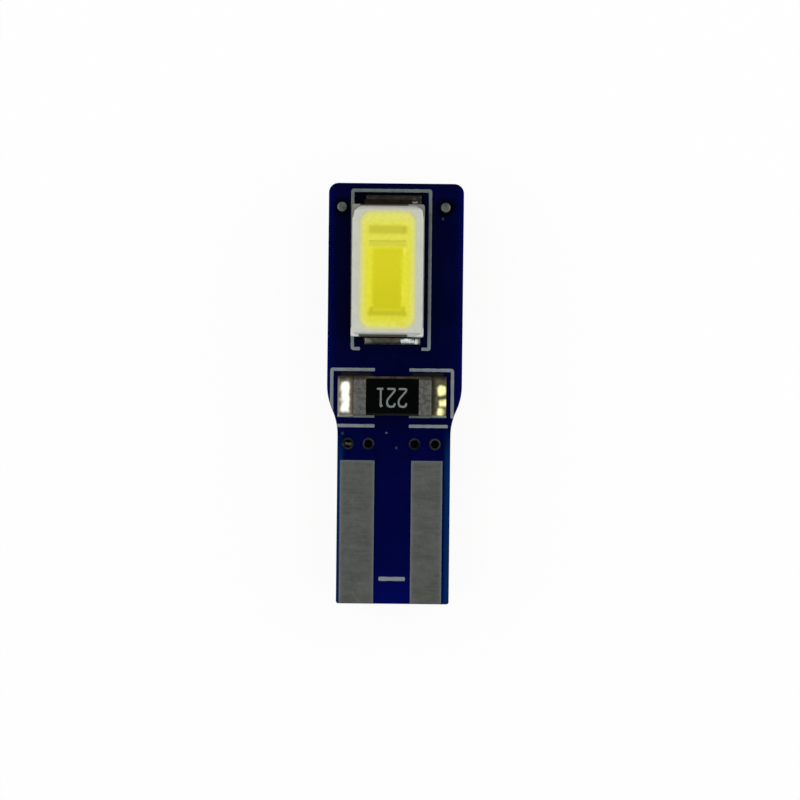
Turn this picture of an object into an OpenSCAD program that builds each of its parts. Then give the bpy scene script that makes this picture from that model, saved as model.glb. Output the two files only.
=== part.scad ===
// Wedge base LED bulb of the small T5 size. A two-sided circuit board carries one LED
// and one series resistor on each face, and its blade slides into the lamp holder.
// X runs across the board, Y from the blade to the LED end, and Z out of the front face.
// The bulb lies on the rim of its back LED.

/* [Board] */
// Length of the board, from the LED end to the tip of the blade
board_len = 17.3; // [14.5:0.1:24]
// Width of the head that carries the LED
head_w = 5.55; // [5.4:0.05:6.5]
// Width of the blade that slides into the holder
blade_w = 4.65; // [4.6:0.05:5]
// Length of the straight head
head_len = 8.3; // [7.5:0.1:8.8]
// Length of the curved shoulders between head and blade
shoulder_len = 2.06; // [1.2:0.02:2.4]
// Radius of the corners at the LED end
end_corner_r = 0.4; // [0.1:0.05:0.6]
// Radius of the corners at the tip of the blade
tip_corner_r = 0.1; // [0.05:0.05:0.3]
// Thickness of the bare laminate
laminate_t = 1.9; // [1.4:0.05:2.2]
// Shift of the artwork and the drilling against the routed outline
artwork_dx = -0.1; // [-0.15:0.05:0.15]

/* [Layers on each face] */
// Thickness of the etched copper
copper_t = 0.035; // [0.018:0.001:0.07]
// Thickness of the tin on the contacts
tin_t = 0.015; // [0.01:0.005:0.03]
// Thickness of the solder mask
mask_t = 0.03; // [0.02:0.005:0.05]
// Width of the step that the mask makes round the copper below it
mask_step = 0.03; // [0.02:0.005:0.05]
// Thickness of the printed legend
legend_t = 0.02; // [0.01:0.005:0.03]
// Width of the legend lines
legend_line = 0.16; // [0.1:0.01:0.2]
// Width of the copper tracks
track_w = 0.5; // [0.3:0.05:0.6]

/* [Contacts] */
// Width of the left contact, seen from its own face
left_contact_w = 1.43; // [1.2:0.01:1.6]
// Width of the right contact, seen from its own face
right_contact_w = 1.3; // [1.2:0.01:1.6]
// Distance from the edge of the blade to a contact, before the artwork is shifted
contact_edge_gap = 0.21; // [0.15:0.01:0.4]
// Width of the minus mark between the contacts
minus_w = 1.1; // [0.6:0.05:1.2]
// Distance of the minus mark from the tip of the blade
minus_y = 1.03; // [0.5:0.01:2]

/* [Vias] */
// Diameter of the drilled holes
drill_d = 0.4; // [0.35:0.01:0.5]
// Thickness of the copper plating in the holes
plating_t = 0.025; // [0.02:0.005:0.04]
// Diameter of the copper ring round each hole
ring_d = 0.56; // [0.54:0.01:0.7]
// Distance between the two vias of a contact
via_pitch = 0.84; // [0.75:0.01:1]
// Distance from the outer edge of a contact to the middle of its two vias
via_inset = 0.745; // [0.65:0.005:0.85]
// Diameter of the opening in the mask at each of these vias
via_open_d = 0.5; // [0.36:0.01:0.54]
// Distance from the resistor's lands to the row of vias
via_res_gap = 1.08; // [0.8:0.01:1.4]
// Distance from the row of vias to the contacts' upper edge
via_row_gap = 0.68; // [0.4:0.01:0.75]
// Distance from the edge of the head to the vias beside the LED
link_via_inset = 0.645; // [0.5:0.005:0.7]
// Distance from the LED end to the vias beside the LED
link_via_y = 0.975; // [0.7:0.005:1.2]
// Diameter of the solder cap on the vias beside the LED
link_cap_d = 0.42; // [0.41:0.01:0.5]

/* [LED] */
// Length of the LED's housing
led_l = 5.45; // [5:0.05:5.6]
// Width of the LED's housing
led_w = 3; // [2.8:0.05:3.1]
// Height of the LED's housing
led_h = 0.9; // [0.75:0.05:1.2]
// Draft of the housing's outer walls on each side
led_draft = 0.05; // [0.01:0.01:0.1]
// Width of the housing's rim at its two ends
rim_end = 0.3; // [0.2:0.01:0.45]
// Width of the housing's rim along its two sides
rim_side = 0.35; // [0.25:0.01:0.45]
// Radius of the window's corners
window_r = 0.31; // [0.2:0.01:0.5]
// Slope of the reflector walls, as their run on each side
reflector_run = 0.2; // [0.05:0.01:0.3]
// Depth of the phosphor's surface below the rim
phosphor_drop = 0.04; // [0.02:0.01:0.1]
// Size of the cut corner that marks the cathode
notch = 0.4; // [0.3:0.01:0.5]
// Size of the small cuts at the other three corners
corner_cut = 0.22; // [0.1:0.01:0.28]
// Depth of the cut corners
notch_depth = 0.35; // [0.1:0.05:0.5]
// Width of the two leads
lead_w = 1.95; // [1.92:0.01:2.1]
// Thickness of the lead frame
lead_t = 0.15; // [0.1:0.01:0.18]
// How far each lead stands out of the housing
lead_out = 0.19; // [0.05:0.01:0.3]
// Length of each lead's foot below the housing
lead_foot = 0.7; // [0.4:0.05:0.7]
// Height of the lead frame's plate above its feet
lead_step = 0.2; // [0.15:0.01:0.22]
// Distance from the cathode end of the housing to the slot between the two leads
slot_inset = 1.525; // [1.4:0.005:1.7]
// Width of the slot between the two leads
slot_w = 0.12; // [0.08:0.01:0.2]
// Distance from the cup for the chip to the bend of its lead
cup_gap = 0.025; // [0.01:0.005:0.4]
// Width of the cup for the chip
cup_w = 1.2; // [0.9:0.05:1.3]
// Slope of the cup's walls, as their run on each side
cup_run = 0.1; // [0.05:0.01:0.15]
// Width of the cup's walls
cup_wall = 0.12; // [0.08:0.01:0.12]
// Length of the chip
chip_l = 1.1; // [0.7:0.05:1.4]
// Width of the chip
chip_w = 0.6; // [0.4:0.05:0.65]
// Height of the chip
chip_h = 0.14; // [0.08:0.01:0.16]
// Diameter of the bond wires
wire_d = 0.03; // [0.02:0.005:0.04]
// Diameter of the wires' bonds
bond_d = 0.09; // [0.06:0.01:0.12]
// Sideways placement error of the front LED on its lands
led_dx = -0.23; // [-0.25:0.01:0.25]
// Lengthways placement error of the front LED on its lands
led_dy = -0.04; // [-0.05:0.01:0.05]

/* [Resistor] */
// Length of the resistor
res_l = 3.2; // [3:0.05:3.4]
// Width of the resistor
res_w = 1.6; // [1.4:0.05:1.7]
// Height of the resistor
res_h = 0.55; // [0.45:0.05:0.65]
// Length of the metal caps on top
cap_l = 0.53; // [0.35:0.01:0.6]
// Thickness of the metal caps
cap_t = 0.03; // [0.02:0.005:0.05]
// Thickness of the black coat
coat_t = 0.04; // [0.03:0.005:0.05]
// Distance from the black coat to the long edges
coat_edge = 0.09; // [0.05:0.01:0.15]
// Thickness of the resistive film
film_t = 0.01; // [0.005:0.005:0.02]
// Distance from the film to the long edges
film_edge = 0.2; // [0.16:0.01:0.3]
// Sideways placement error of the resistor
res_dx = 0.02; // [-0.05:0.01:0.05]
// Lengthways placement error of the resistor
res_dy = 0.04; // [-0.05:0.01:0.05]

/* [Lands and legend] */
// Distance from the LED end to the LED's upper land
land_end_gap = 0.48; // [0.4:0.01:0.6]
// Length of the LED's lands beyond its leads
led_toe = 0.155; // [0.15:0.005:0.3]
// Width of the LED's lands beyond its leads on each side
led_side = 0.175; // [0.05:0.005:0.2]
// Length of the LED's lands
led_land_l = 1.3; // [1.1:0.05:1.6]
// Distance from the LED's lower land to the resistor's lands
led_res_gap = 1.29; // [1:0.01:1.4]
// Length of the resistor's lands beyond its caps
res_toe = 0.65; // [0.4:0.01:0.7]
// Width of the resistor's lands beyond its long edges on each side
res_side = 0.06; // [0.03:0.01:0.15]
// Length of the resistor's lands
res_land_l = 1.54; // [1.2:0.01:1.6]
// Height that the solder climbs on the resistor's caps, as a share of their height
res_climb = 0.7; // [0.3:0.05:0.9]
// Height that the solder climbs on the LED's leads, as a share of their thickness
led_climb = 0.8; // [0.3:0.05:1]
// Distance from the LED's housing to the long lines of its legend frame
led_frame_side = 0.075; // [0.05:0.005:0.15]
// Sideways shift of the LED's legend frame
led_frame_dx = -0.075; // [-0.08:0.005:0.08]
// Distance from the LED's lands to the ends of its legend frame
led_frame_end = 0.18; // [0.1:0.01:0.25]
// Length of the hooks at the open end of the LED's legend frame
hook_l = 0.32; // [0.2:0.01:0.4]
// Distance from the resistor's lands to the side lines of its legend frame
res_frame_side = 0.23; // [0.15:0.01:0.3]
// Distance from the resistor's lands to the long lines of its legend frame
res_frame_long = 0.295; // [0.15:0.005:0.35]
// Lengthways shift of the resistor's legend frame
res_frame_dy = -0.045; // [-0.05:0.005:0.05]
// Gap in the middle of the long lines
res_frame_gap = 1.45; // [1:0.05:2]
// Distance between a side line and the long line below it
res_frame_open = 0.33; // [0.2:0.01:0.6]

/* [Hidden] */
$fn = 48;

// How far a cutting shape runs past the face that it cuts
past = 0.1;
// Steps in each drawn arc
arc_steps = 8;
// Steps in each solder fillet
fillet_steps = 6;

// Heights above the face of the laminate
mask_top = copper_t + mask_t;
seat_z = mask_top + legend_t;
// Heights of the two faces of the laminate
back_z = seat_z + led_h;
front_z = back_z + laminate_t;

led_end_y = board_len / 2;
tip_y = -board_len / 2;

// Contacts and their vias, seen from above the face
contact_x = blade_w / 2 - contact_edge_gap;
via_x = contact_x - via_inset;
hole_r = drill_d / 2 - plating_t;
ring_r = ring_d / 2;
link_via_x = head_w / 2 - link_via_inset;
link_y = led_end_y - link_via_y;
mark_x = (left_contact_w - right_contact_w) / 2;

// Lands of the LED
led_reach = led_l / 2 + lead_out + led_toe;
led_y = led_end_y - land_end_gap - led_reach;
led_land_w = lead_w + 2 * led_side;

// Lands of the resistor
res_reach = res_l / 2 + res_toe;
res_land_w = res_w + 2 * res_side;
res_land_x = res_reach - res_land_l / 2;
res_y = led_y - led_reach - led_res_gap - res_land_w / 2;

via_y = res_y - res_land_w / 2 - via_res_gap;
contact_top_y = via_y - via_row_gap;

// Window and lead frame of the LED
window_w = led_w - 2 * rim_side;
window_l = led_l - 2 * rim_end;
plate_z = lead_step + lead_t;
fill_z = led_h - phosphor_drop;
foot_in = led_l / 2 - lead_foot;
bend = lead_t * tan(22.5);
slot_y = led_l / 2 - slot_inset;
anode_end = slot_y - slot_w / 2;
cathode_end = slot_y + slot_w / 2;
cup_l = anode_end + foot_in - lead_step - cup_gap - 2 * cup_wall;
cup_y = anode_end - cup_wall - cup_l / 2;

// Width and length of the reflector at a height
function reflector_shrink(z) = 2 * reflector_run * (led_h - z) / (led_h - plate_z);
function reflector_w(z) = window_w - reflector_shrink(z);
function reflector_l(z) = window_l - reflector_shrink(z);

// Points of an arc about c, from angle a to angle b
function arc(c, r, a, b) =
    [for (i = [0:arc_steps]) let (t = a + (b - a) * i / arc_steps)
        [c[0] + r * cos(t), c[1] + r * sin(t)]];

// Right half of the board: blade tip, shoulder of two equal tangent arcs, head
function half_outline() =
    let (drop = (head_w - blade_w) / 2,
         r = (shoulder_len * shoulder_len + drop * drop) / (4 * drop),
         turn = asin(shoulder_len / 2 / r),
         top = led_end_y - head_len,
         low = top - shoulder_len)
    concat(
        arc([blade_w / 2 - tip_corner_r, tip_y + tip_corner_r], tip_corner_r, -90, 0),
        arc([blade_w / 2 + r, low], r, 180, 180 - turn),
        arc([head_w / 2 - r, top], r, -turn, 0),
        arc([head_w / 2 - end_corner_r, led_end_y - end_corner_r], end_corner_r, 0, 90));

// Ring of points round a rectangle, with rounded corners
function rounded_ring(w, l, r) =
    [for (k = [0:3])
        let (x = (k == 0 || k == 3 ? 1 : -1) * (w / 2 - r), y = (k < 2 ? 1 : -1) * (l / 2 - r))
            each arc([x, y], r, 90 * k, 90 * k + 90)];

function ring(w, l) = [[w / 2, l / 2], [-w / 2, l / 2], [-w / 2, -l / 2], [w / 2, -l / 2]];

// Solid between two rings of as many points, at two heights
module loft(bottom, top, low, high) {
    n = len(bottom);
    polyhedron(
        concat([for (p = bottom) [p[0], p[1], low]], [for (p = top) [p[0], p[1], high]]),
        concat([[for (i = [0:n - 1]) i], [for (i = [n - 1:-1:0]) n + i]],
               [for (i = [0:n - 1]) let (j = (i + 1) % n) [i, i + n, j + n, j]]));
}

module outline() {
    half = half_outline();
    last = len(half) - 1;
    polygon(concat(half, [for (i = [last:-1:0]) [-half[i][0], half[i][1]]]));
}

// Cuts a plan that is drawn about the artwork's centre to the board's outline
module on_board(shift = artwork_dx) {
    intersection() {
        children();
        translate([-shift, 0]) outline();
    }
}

// Both faces: the back is the front turned half round the board's long axis
module on_face(face) {
    if (face == "front")
        translate([artwork_dx, 0, front_z]) children();
    else
        translate([artwork_dx, 0, back_z]) rotate([0, 180, 0]) children();
}

// The shift of the outline against the artwork, as seen from a face
function seen_shift(face) = face == "front" ? artwork_dx : -artwork_dx;

// A layer between two heights
module layer(low, high) {
    translate([0, 0, low]) linear_extrude(high - low) children();
}

module box_plan(x1, x2, y1, y2, grow = 0) {
    translate([x1 - grow, y1 - grow]) square([x2 - x1 + 2 * grow, y2 - y1 + 2 * grow]);
}

// A line of one width through a list of points, with round ends
module line_plan(points, w) {
    for (p = points)
        translate(p) circle(d = w);
    for (i = [0:len(points) - 2])
        let (d = points[i + 1] - points[i])
            translate(points[i]) rotate(atan2(d[1], d[0]))
                translate([0, -w / 2]) square([norm(d), w]);
}

// Vias of the two contacts, and the two beside the LED
module contact_vias(side) {
    for (i = [-1, 1])
        translate([side * via_x + i * via_pitch / 2, via_y]) children();
}

module link_vias() {
    for (side = [-1, 1])
        translate([side * link_via_x, link_y]) children();
}

// Plans of the lands and the contacts
module led_land(side, grow = 0) {
    y = led_y + side * (led_reach - led_land_l / 2);
    box_plan(-led_land_w / 2, led_land_w / 2, y - led_land_l / 2, y + led_land_l / 2, grow);
}

module res_land(side, grow = 0) {
    x = side * res_land_x;
    box_plan(x - res_land_l / 2, x + res_land_l / 2,
             res_y - res_land_w / 2, res_y + res_land_w / 2, grow);
}

module contact_plan(side, top = contact_top_y, grow = 0, beyond = 0) {
    w = side < 0 ? left_contact_w : right_contact_w;
    box_plan(side < 0 ? -contact_x : contact_x - w,
             side < 0 ? w - contact_x : contact_x, tip_y - beyond, top, grow);
}

// Plans of the etched copper, one for each net
module supply_plan(grow = 0) {
    contact_plan(-1, via_y, grow);
    contact_vias(-1) circle(ring_r + grow);
    line_plan([[-via_x, via_y], [-res_land_x, res_y]], track_w + 2 * grow);
    res_land(-1, grow);
}

module return_plan(grow = 0) {
    contact_plan(1, via_y, grow);
    contact_vias(1) circle(ring_r + grow);
}

module series_plan(grow = 0) {
    middle = led_y - led_reach - led_res_gap / 2;
    res_land(1, grow);
    line_plan([[res_land_x, res_y], [res_land_x, middle],
               [0, middle], [0, led_y - led_reach + led_land_l / 2]], track_w + 2 * grow);
    led_land(-1, grow);
}

module link_plan(grow = 0) {
    led_land(1, grow);
    line_plan([[-link_via_x, link_y], [link_via_x, link_y]], track_w + 2 * grow);
    link_vias() circle(ring_r + grow);
}

module copper_plan(grow = 0) {
    supply_plan(grow);
    return_plan(grow);
    series_plan(grow);
    link_plan(grow);
}

// Plan of the printed lines that frame the LED and the resistor
module frames_plan() {
    led_x = led_w / 2 + led_frame_side;
    led_top = led_y + led_reach + led_frame_end;
    led_low = led_y - led_reach - led_frame_end;
    res_x = res_reach + res_frame_side;
    res_top = res_y + res_frame_dy + res_land_w / 2 + res_frame_long;
    res_low = res_y + res_frame_dy - res_land_w / 2 - res_frame_long;
    translate([led_frame_dx, 0])
        line_plan([[-led_x + hook_l, led_low], [-led_x, led_low], [-led_x, led_top],
                   [led_x, led_top], [led_x, led_low], [led_x - hook_l, led_low]],
                  legend_line);
    for (side = [-1, 1]) {
        line_plan([[side * res_frame_gap / 2, res_top], [side * res_x, res_top],
                   [side * res_x, res_low + res_frame_open]], legend_line);
        line_plan([[side * res_frame_gap / 2, res_low],
                   [side * (res_x - res_frame_open / 2), res_low]], legend_line);
    }
}

// The front face has a minus mark between its contacts as well
module legend_plan(face) {
    frames_plan();
    if (face == "front")
        translate([mark_x, tip_y + minus_y]) square([minus_w, legend_line], center = true);
}

module laminate() {
    color("#c9cfa8")
    difference() {
        translate([0, 0, back_z]) linear_extrude(laminate_t) outline();
        translate([artwork_dx, 0, back_z - past]) {
            for (side = [-1, 1])
                contact_vias(side) cylinder(d = drill_d, h = laminate_t + 2 * past);
            link_vias() cylinder(d = drill_d, h = laminate_t + 2 * past);
        }
    }
}

module barrel() {
    difference() {
        cylinder(d = drill_d, h = laminate_t);
        translate([0, 0, -past]) cylinder(r = hole_r, h = laminate_t + 2 * past);
    }
}

module contact_barrels(side) {
    color("#b87333")
    translate([artwork_dx, 0, back_z]) contact_vias(side) barrel();
}

module link_barrels() {
    color("#b87333")
    translate([artwork_dx, 0, back_z]) link_vias() barrel();
}

// Solder that has run through the vias beside the LED, with a low cap on each face
module link_solder() {
    cap_h = seat_z - copper_t;
    color("#8f8f8c")
    translate([artwork_dx, 0, back_z]) link_vias() {
        translate([0, 0, -copper_t]) cylinder(r = hole_r, h = laminate_t + 2 * copper_t);
        for (face = [0, 1])
            translate([0, 0, face * laminate_t]) rotate([180 * (1 - face), 0, 0])
                translate([0, 0, copper_t])
                    cylinder(d1 = link_cap_d, d2 = link_cap_d / 2, h = cap_h);
    }
}

// Copper of one net, cut to the board and open at its vias
module etched(face) {
    color("#b87333")
    on_face(face)
    difference() {
        layer(0, copper_t) on_board(seen_shift(face)) children();
        for (side = [-1, 1])
            contact_vias(side) translate([0, 0, -past]) cylinder(r = hole_r, h = 1);
        link_vias() translate([0, 0, -past]) cylinder(r = hole_r, h = 1);
    }
}

module contact(face, side) {
    color("#b9bbb8")
    on_face(face) layer(copper_t, copper_t + tin_t)
        on_board(seen_shift(face)) contact_plan(side);
}

module solder_mask(face) {
    color("#05083c")
    on_face(face)
    difference() {
        union() {
            layer(0, mask_t) translate([-seen_shift(face), 0]) outline();
            layer(0, mask_top) on_board(seen_shift(face)) copper_plan(mask_step);
        }
        layer(-past, copper_t) copper_plan();
        layer(-past, 1) {
            for (side = [-1, 1]) {
                contact_plan(side, beyond = past);
                led_land(side);
                res_land(side);
            }
        }
        translate([0, 0, -past]) {
            for (side = [-1, 1])
                contact_vias(side) cylinder(d = via_open_d, h = 1);
            link_vias() cylinder(d = link_cap_d, h = 1);
        }
    }
}

module legend(face) {
    color("#9aa09a")
    on_face(face)
    difference() {
        union() {
            layer(mask_t, mask_t + legend_t) on_board(seen_shift(face)) legend_plan(face);
            layer(mask_t, seat_z) on_board(seen_shift(face)) intersection() {
                legend_plan(face);
                copper_plan(mask_step + legend_t);
            }
        }
        layer(0, mask_top) copper_plan(mask_step);
    }
}

// Places the LED on its lands. The back one is turned end for end and sits true.
module at_led(face) {
    if (face == "front")
        translate([led_dx, led_y + led_dy, seat_z]) children();
    else
        translate([0, led_y, seat_z]) rotate(180) children();
}

// Side view of a lead, from its tip outside the housing to the end of its plate
module lead_strip(plate_end) {
    tip = -led_l / 2 - lead_out;
    rotate([90, 0, 90]) translate([0, 0, -lead_w / 2]) linear_extrude(lead_w)
        polygon([[tip, 0], [-foot_in, 0], [-foot_in + lead_step, lead_step],
                 [plate_end, lead_step], [plate_end, plate_z],
                 [-foot_in + lead_step - bend, plate_z], [-foot_in - bend, lead_t],
                 [tip, lead_t]]);
}

// Frustum with a rectangular plan, wider at the top by run on each side
module frustum(w, l, run, low, high) {
    loft(ring(w - 2 * run, l - 2 * run), ring(w, l), low, high);
}

module cup_space() {
    translate([0, cup_y, 0]) frustum(cup_w, cup_l, cup_run, lead_t, plate_z);
}

module cup_shell() {
    translate([0, cup_y, 0])
        frustum(cup_w + 2 * cup_wall, cup_l + 2 * cup_wall, cup_run, 0, plate_z);
}

module anode_shape() {
    difference() {
        union() {
            lead_strip(anode_end);
            cup_shell();
        }
        cup_space();
    }
}

module cathode_shape() {
    rotate(180) lead_strip(-cathode_end);
}

// Reflector space between two heights
module reflector(low, high) {
    loft(rounded_ring(reflector_w(low), reflector_l(low), window_r),
         rounded_ring(reflector_w(high), reflector_l(high), window_r), low, high);
}

// Corner of the housing that is cut away above a floor, by a size along each edge
module cut_corner(x_side, y_side, size) {
    reach = size + past;
    translate([x_side * led_w / 2, y_side * led_l / 2, led_h - notch_depth])
        scale([x_side, y_side]) linear_extrude(1)
            polygon([[past, past], [-reach, past], [past, -reach]]);
}

module led_housing(face) {
    color("#d9dbd2")
    on_face(face) at_led(face)
    difference() {
        frustum(led_w - 2 * led_draft, led_l - 2 * led_draft, -led_draft, 0, led_h);
        reflector(plate_z, led_h + past);
        anode_shape();
        cathode_shape();
        cup_space();
        cut_corner(-1, 1, notch);
        cut_corner(1, 1, corner_cut);
        cut_corner(-1, -1, corner_cut);
        cut_corner(1, -1, corner_cut);
    }
}

module led_anode_lead(face) {
    color("#c8c3b4")
    on_face(face) at_led(face) anode_shape();
}

module led_cathode_lead(face) {
    color("#c8c3b4")
    on_face(face) at_led(face) cathode_shape();
}

module chip_shape() {
    translate([-chip_w / 2, cup_y - chip_l / 2, lead_t]) cube([chip_w, chip_l, chip_h]);
}

module led_chip(face) {
    color("#5f7f9f")
    on_face(face) at_led(face) chip_shape();
}

// Arched wire between a bond on the chip and a bond on a lead
module bond_wire(from, to) {
    span = norm(to - from);
    rise = span * 0.2;
    r = (span * span / 4 + rise * rise) / (2 * rise);
    half = asin(span / 2 / r);
    wire_z = plate_z + wire_d;
    d = to - from;
    translate([from[0], from[1], lead_t + chip_h])
        cylinder(d = bond_d, h = wire_z + wire_d - lead_t - chip_h);
    translate([to[0], to[1], plate_z]) cylinder(d = bond_d, h = 2 * wire_d);
    translate([(from[0] + to[0]) / 2, (from[1] + to[1]) / 2, wire_z + rise - r])
        rotate([90, 0, atan2(d[1], d[0])]) rotate(90 - half)
            rotate_extrude(angle = 2 * half) translate([r, 0]) circle(d = wire_d);
}

module wires_shape() {
    on_chip = chip_w / 4;
    bond_wire([on_chip, cup_y + chip_l / 2 - bond_d], [on_chip, cathode_end + 2 * bond_d]);
    bond_wire([on_chip, cup_y], [(cup_w + lead_w) / 4, cup_y]);
}

module led_bond_wires(face) {
    color("gold")
    on_face(face) at_led(face) wires_shape();
}

module led_phosphor(face) {
    color("#d8d630")
    on_face(face) at_led(face)
    difference() {
        union() {
            reflector(plate_z, fill_z);
            cup_space();
        }
        chip_shape();
        wires_shape();
    }
}

// Side view of a solder joint: a hollow curve that falls from the part to the land's edge
function fillet_points(part, toe, low, high) =
    concat([[part, copper_t], [toe, copper_t]],
           [for (i = [fillet_steps:-1:0]) let (t = 90 * i / fillet_steps)
               [part + (toe - part) * (1 - cos(t)), low + (high - low) * (1 - sin(t))]]);

module led_solder(face, side) {
    dy = face == "front" ? led_dy : 0;
    tip = side * (led_l / 2 + lead_out) + led_y + dy;
    toe = side * led_reach + led_y;
    color("#8f928c")
    on_face(face) union() {
        layer(copper_t, seat_z) led_land(side);
        rotate([90, 0, 90]) translate([0, 0, -led_land_w / 2]) linear_extrude(led_land_w)
            polygon(fillet_points(tip, toe, seat_z, seat_z + led_climb * lead_t));
    }
}

// Places the resistor on its lands
module at_resistor(face) {
    on_face(face) translate([res_dx, res_y + res_dy, seat_z]) children();
}

module resistor_body(face) {
    color("#e8e6dc")
    at_resistor(face) layer(cap_t, res_h - cap_t)
        square([res_l - 2 * cap_t, res_w], center = true);
}

module film_shape() {
    layer(res_h - cap_t, res_h - cap_t + film_t)
        square([res_l - 2 * cap_l, res_w - 2 * film_edge], center = true);
}

module resistor_film(face) {
    color("#4a4038")
    at_resistor(face) film_shape();
}

module resistor_coat(face) {
    color("#0b0c0b")
    at_resistor(face) difference() {
        layer(res_h - cap_t, res_h - cap_t + coat_t)
            square([res_l - 2 * cap_l, res_w - 2 * coat_edge], center = true);
        film_shape();
    }
}

// A cap wraps the end of the body and reaches as far below as above
module resistor_cap(face, side) {
    reach = res_l / 2;
    inner = reach - cap_l;
    color("#a9aaa6")
    at_resistor(face) rotate([90, 0, 0]) translate([0, 0, -res_w / 2])
        linear_extrude(res_w) scale([side, 1])
            polygon([[inner, 0], [reach, 0], [reach, res_h], [inner, res_h],
                     [inner, res_h - cap_t], [reach - cap_t, res_h - cap_t],
                     [reach - cap_t, cap_t], [inner, cap_t]]);
}

module resistor_solder(face, side) {
    wall = side * res_l / 2 + res_dx;
    color("#8f928c")
    on_face(face) union() {
        layer(copper_t, seat_z) res_land(side);
        translate([0, res_y + res_dy, 0]) rotate([90, 0, 0]) translate([0, 0, -res_w / 2])
            linear_extrude(res_w)
                polygon(fillet_points(wall, side * res_reach, seat_z,
                                      seat_z + res_climb * res_h));
    }
}

laminate();
contact_barrels(-1);  // left_via_barrels
contact_barrels(1);  // right_via_barrels
link_barrels();  // link_via_barrels
link_solder();  // link_via_solder
etched("front") supply_plan();  // front_supply_track
etched("front") series_plan();  // front_series_track
etched("front") link_plan();  // front_link_track
etched("front") return_plan();  // front_return_track
etched("back") supply_plan();  // back_supply_track
etched("back") series_plan();  // back_series_track
etched("back") link_plan();  // back_link_track
etched("back") return_plan();  // back_return_track
contact("front", -1);  // front_left_contact
contact("front", 1);  // front_right_contact
contact("back", -1);  // back_left_contact
contact("back", 1);  // back_right_contact
solder_mask("front");  // front_solder_mask
solder_mask("back");  // back_solder_mask
legend("front");  // front_legend
legend("back");  // back_legend
led_housing("front");  // front_led_housing
led_anode_lead("front");  // front_led_anode_lead
led_cathode_lead("front");  // front_led_cathode_lead
led_chip("front");  // front_led_chip
led_bond_wires("front");  // front_led_bond_wires
led_phosphor("front");  // front_led_phosphor
led_housing("back");  // back_led_housing
led_anode_lead("back");  // back_led_anode_lead
led_cathode_lead("back");  // back_led_cathode_lead
led_chip("back");  // back_led_chip
led_bond_wires("back");  // back_led_bond_wires
led_phosphor("back");  // back_led_phosphor
led_solder("front", 1);  // front_led_upper_solder
led_solder("front", -1);  // front_led_lower_solder
led_solder("back", 1);  // back_led_upper_solder
led_solder("back", -1);  // back_led_lower_solder
resistor_body("front");  // front_resistor_body
resistor_film("front");  // front_resistor_film
resistor_coat("front");  // front_resistor_coat
resistor_cap("front", -1);  // front_resistor_left_cap
resistor_cap("front", 1);  // front_resistor_right_cap
resistor_body("back");  // back_resistor_body
resistor_film("back");  // back_resistor_film
resistor_coat("back");  // back_resistor_coat
resistor_cap("back", -1);  // back_resistor_left_cap
resistor_cap("back", 1);  // back_resistor_right_cap
resistor_solder("front", -1);  // front_resistor_left_solder
resistor_solder("front", 1);  // front_resistor_right_solder
resistor_solder("back", -1);  // back_resistor_left_solder
resistor_solder("back", 1);  // back_resistor_right_solder
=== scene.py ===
"""Looks of a small wedge base LED bulb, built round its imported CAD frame.

Shapes are worked out in millimetres as seen from one face of the board: x from the middle of the
artwork, y towards the LED end, h above the bare laminate. place() carries them into the frame.
"""

import math

import bpy
import numpy as np
from bpy.props import FloatProperty, FloatVectorProperty, PointerProperty
from mathutils import Matrix, Vector


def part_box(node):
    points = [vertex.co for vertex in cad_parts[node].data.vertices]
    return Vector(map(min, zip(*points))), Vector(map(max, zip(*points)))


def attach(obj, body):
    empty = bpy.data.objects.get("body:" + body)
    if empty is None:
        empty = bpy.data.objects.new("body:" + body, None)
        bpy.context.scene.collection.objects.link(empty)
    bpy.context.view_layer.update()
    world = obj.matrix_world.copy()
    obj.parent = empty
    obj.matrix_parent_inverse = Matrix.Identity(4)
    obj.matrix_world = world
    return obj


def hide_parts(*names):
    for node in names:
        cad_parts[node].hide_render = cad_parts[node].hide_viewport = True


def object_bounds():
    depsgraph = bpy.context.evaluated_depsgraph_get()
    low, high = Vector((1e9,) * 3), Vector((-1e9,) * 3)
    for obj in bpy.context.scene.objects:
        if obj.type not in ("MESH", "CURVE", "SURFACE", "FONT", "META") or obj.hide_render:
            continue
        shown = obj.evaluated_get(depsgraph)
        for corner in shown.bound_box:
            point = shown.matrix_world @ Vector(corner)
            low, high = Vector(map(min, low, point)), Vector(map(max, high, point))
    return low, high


bl_info = {
    "name": "Wedge base LED bulb",
    "version": (1, 0, 0),
    "blender": (4, 5, 0),
    "location": "View3D > Sidebar > Bulb",
    "description": "Builds the visible pieces, finishes and stage of a small wedge base LED bulb",
    "category": "Add Mesh",
}

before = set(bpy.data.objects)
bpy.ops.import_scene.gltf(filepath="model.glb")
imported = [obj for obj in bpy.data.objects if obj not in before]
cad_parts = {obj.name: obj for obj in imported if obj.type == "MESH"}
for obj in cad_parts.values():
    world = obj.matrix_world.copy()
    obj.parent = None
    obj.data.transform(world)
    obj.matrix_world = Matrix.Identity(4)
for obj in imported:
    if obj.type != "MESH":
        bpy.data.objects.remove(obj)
CAD_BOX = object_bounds()

MM = 0.001
FACES = ("front", "back")
SIDES = {"left": -1, "right": 1}
ENDS = {"upper": 1, "lower": -1}
BODY = "root"
PATH_STEP = 0.02
END_ROUND = 0.025
NO_TRIANGLES = np.empty((0, 3), int)


# The frame's own sizes

def box_mm(node):
    """Lowest and highest corner of a CAD node, in millimetres of the frame."""
    low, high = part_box(node)
    return np.array(low) / MM, np.array(high) / MM


BOARD_LOW, BOARD_HIGH = box_mm("laminate")
ART_X = float(sum(box_mm("link_via_solder"))[0]) / 2


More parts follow.
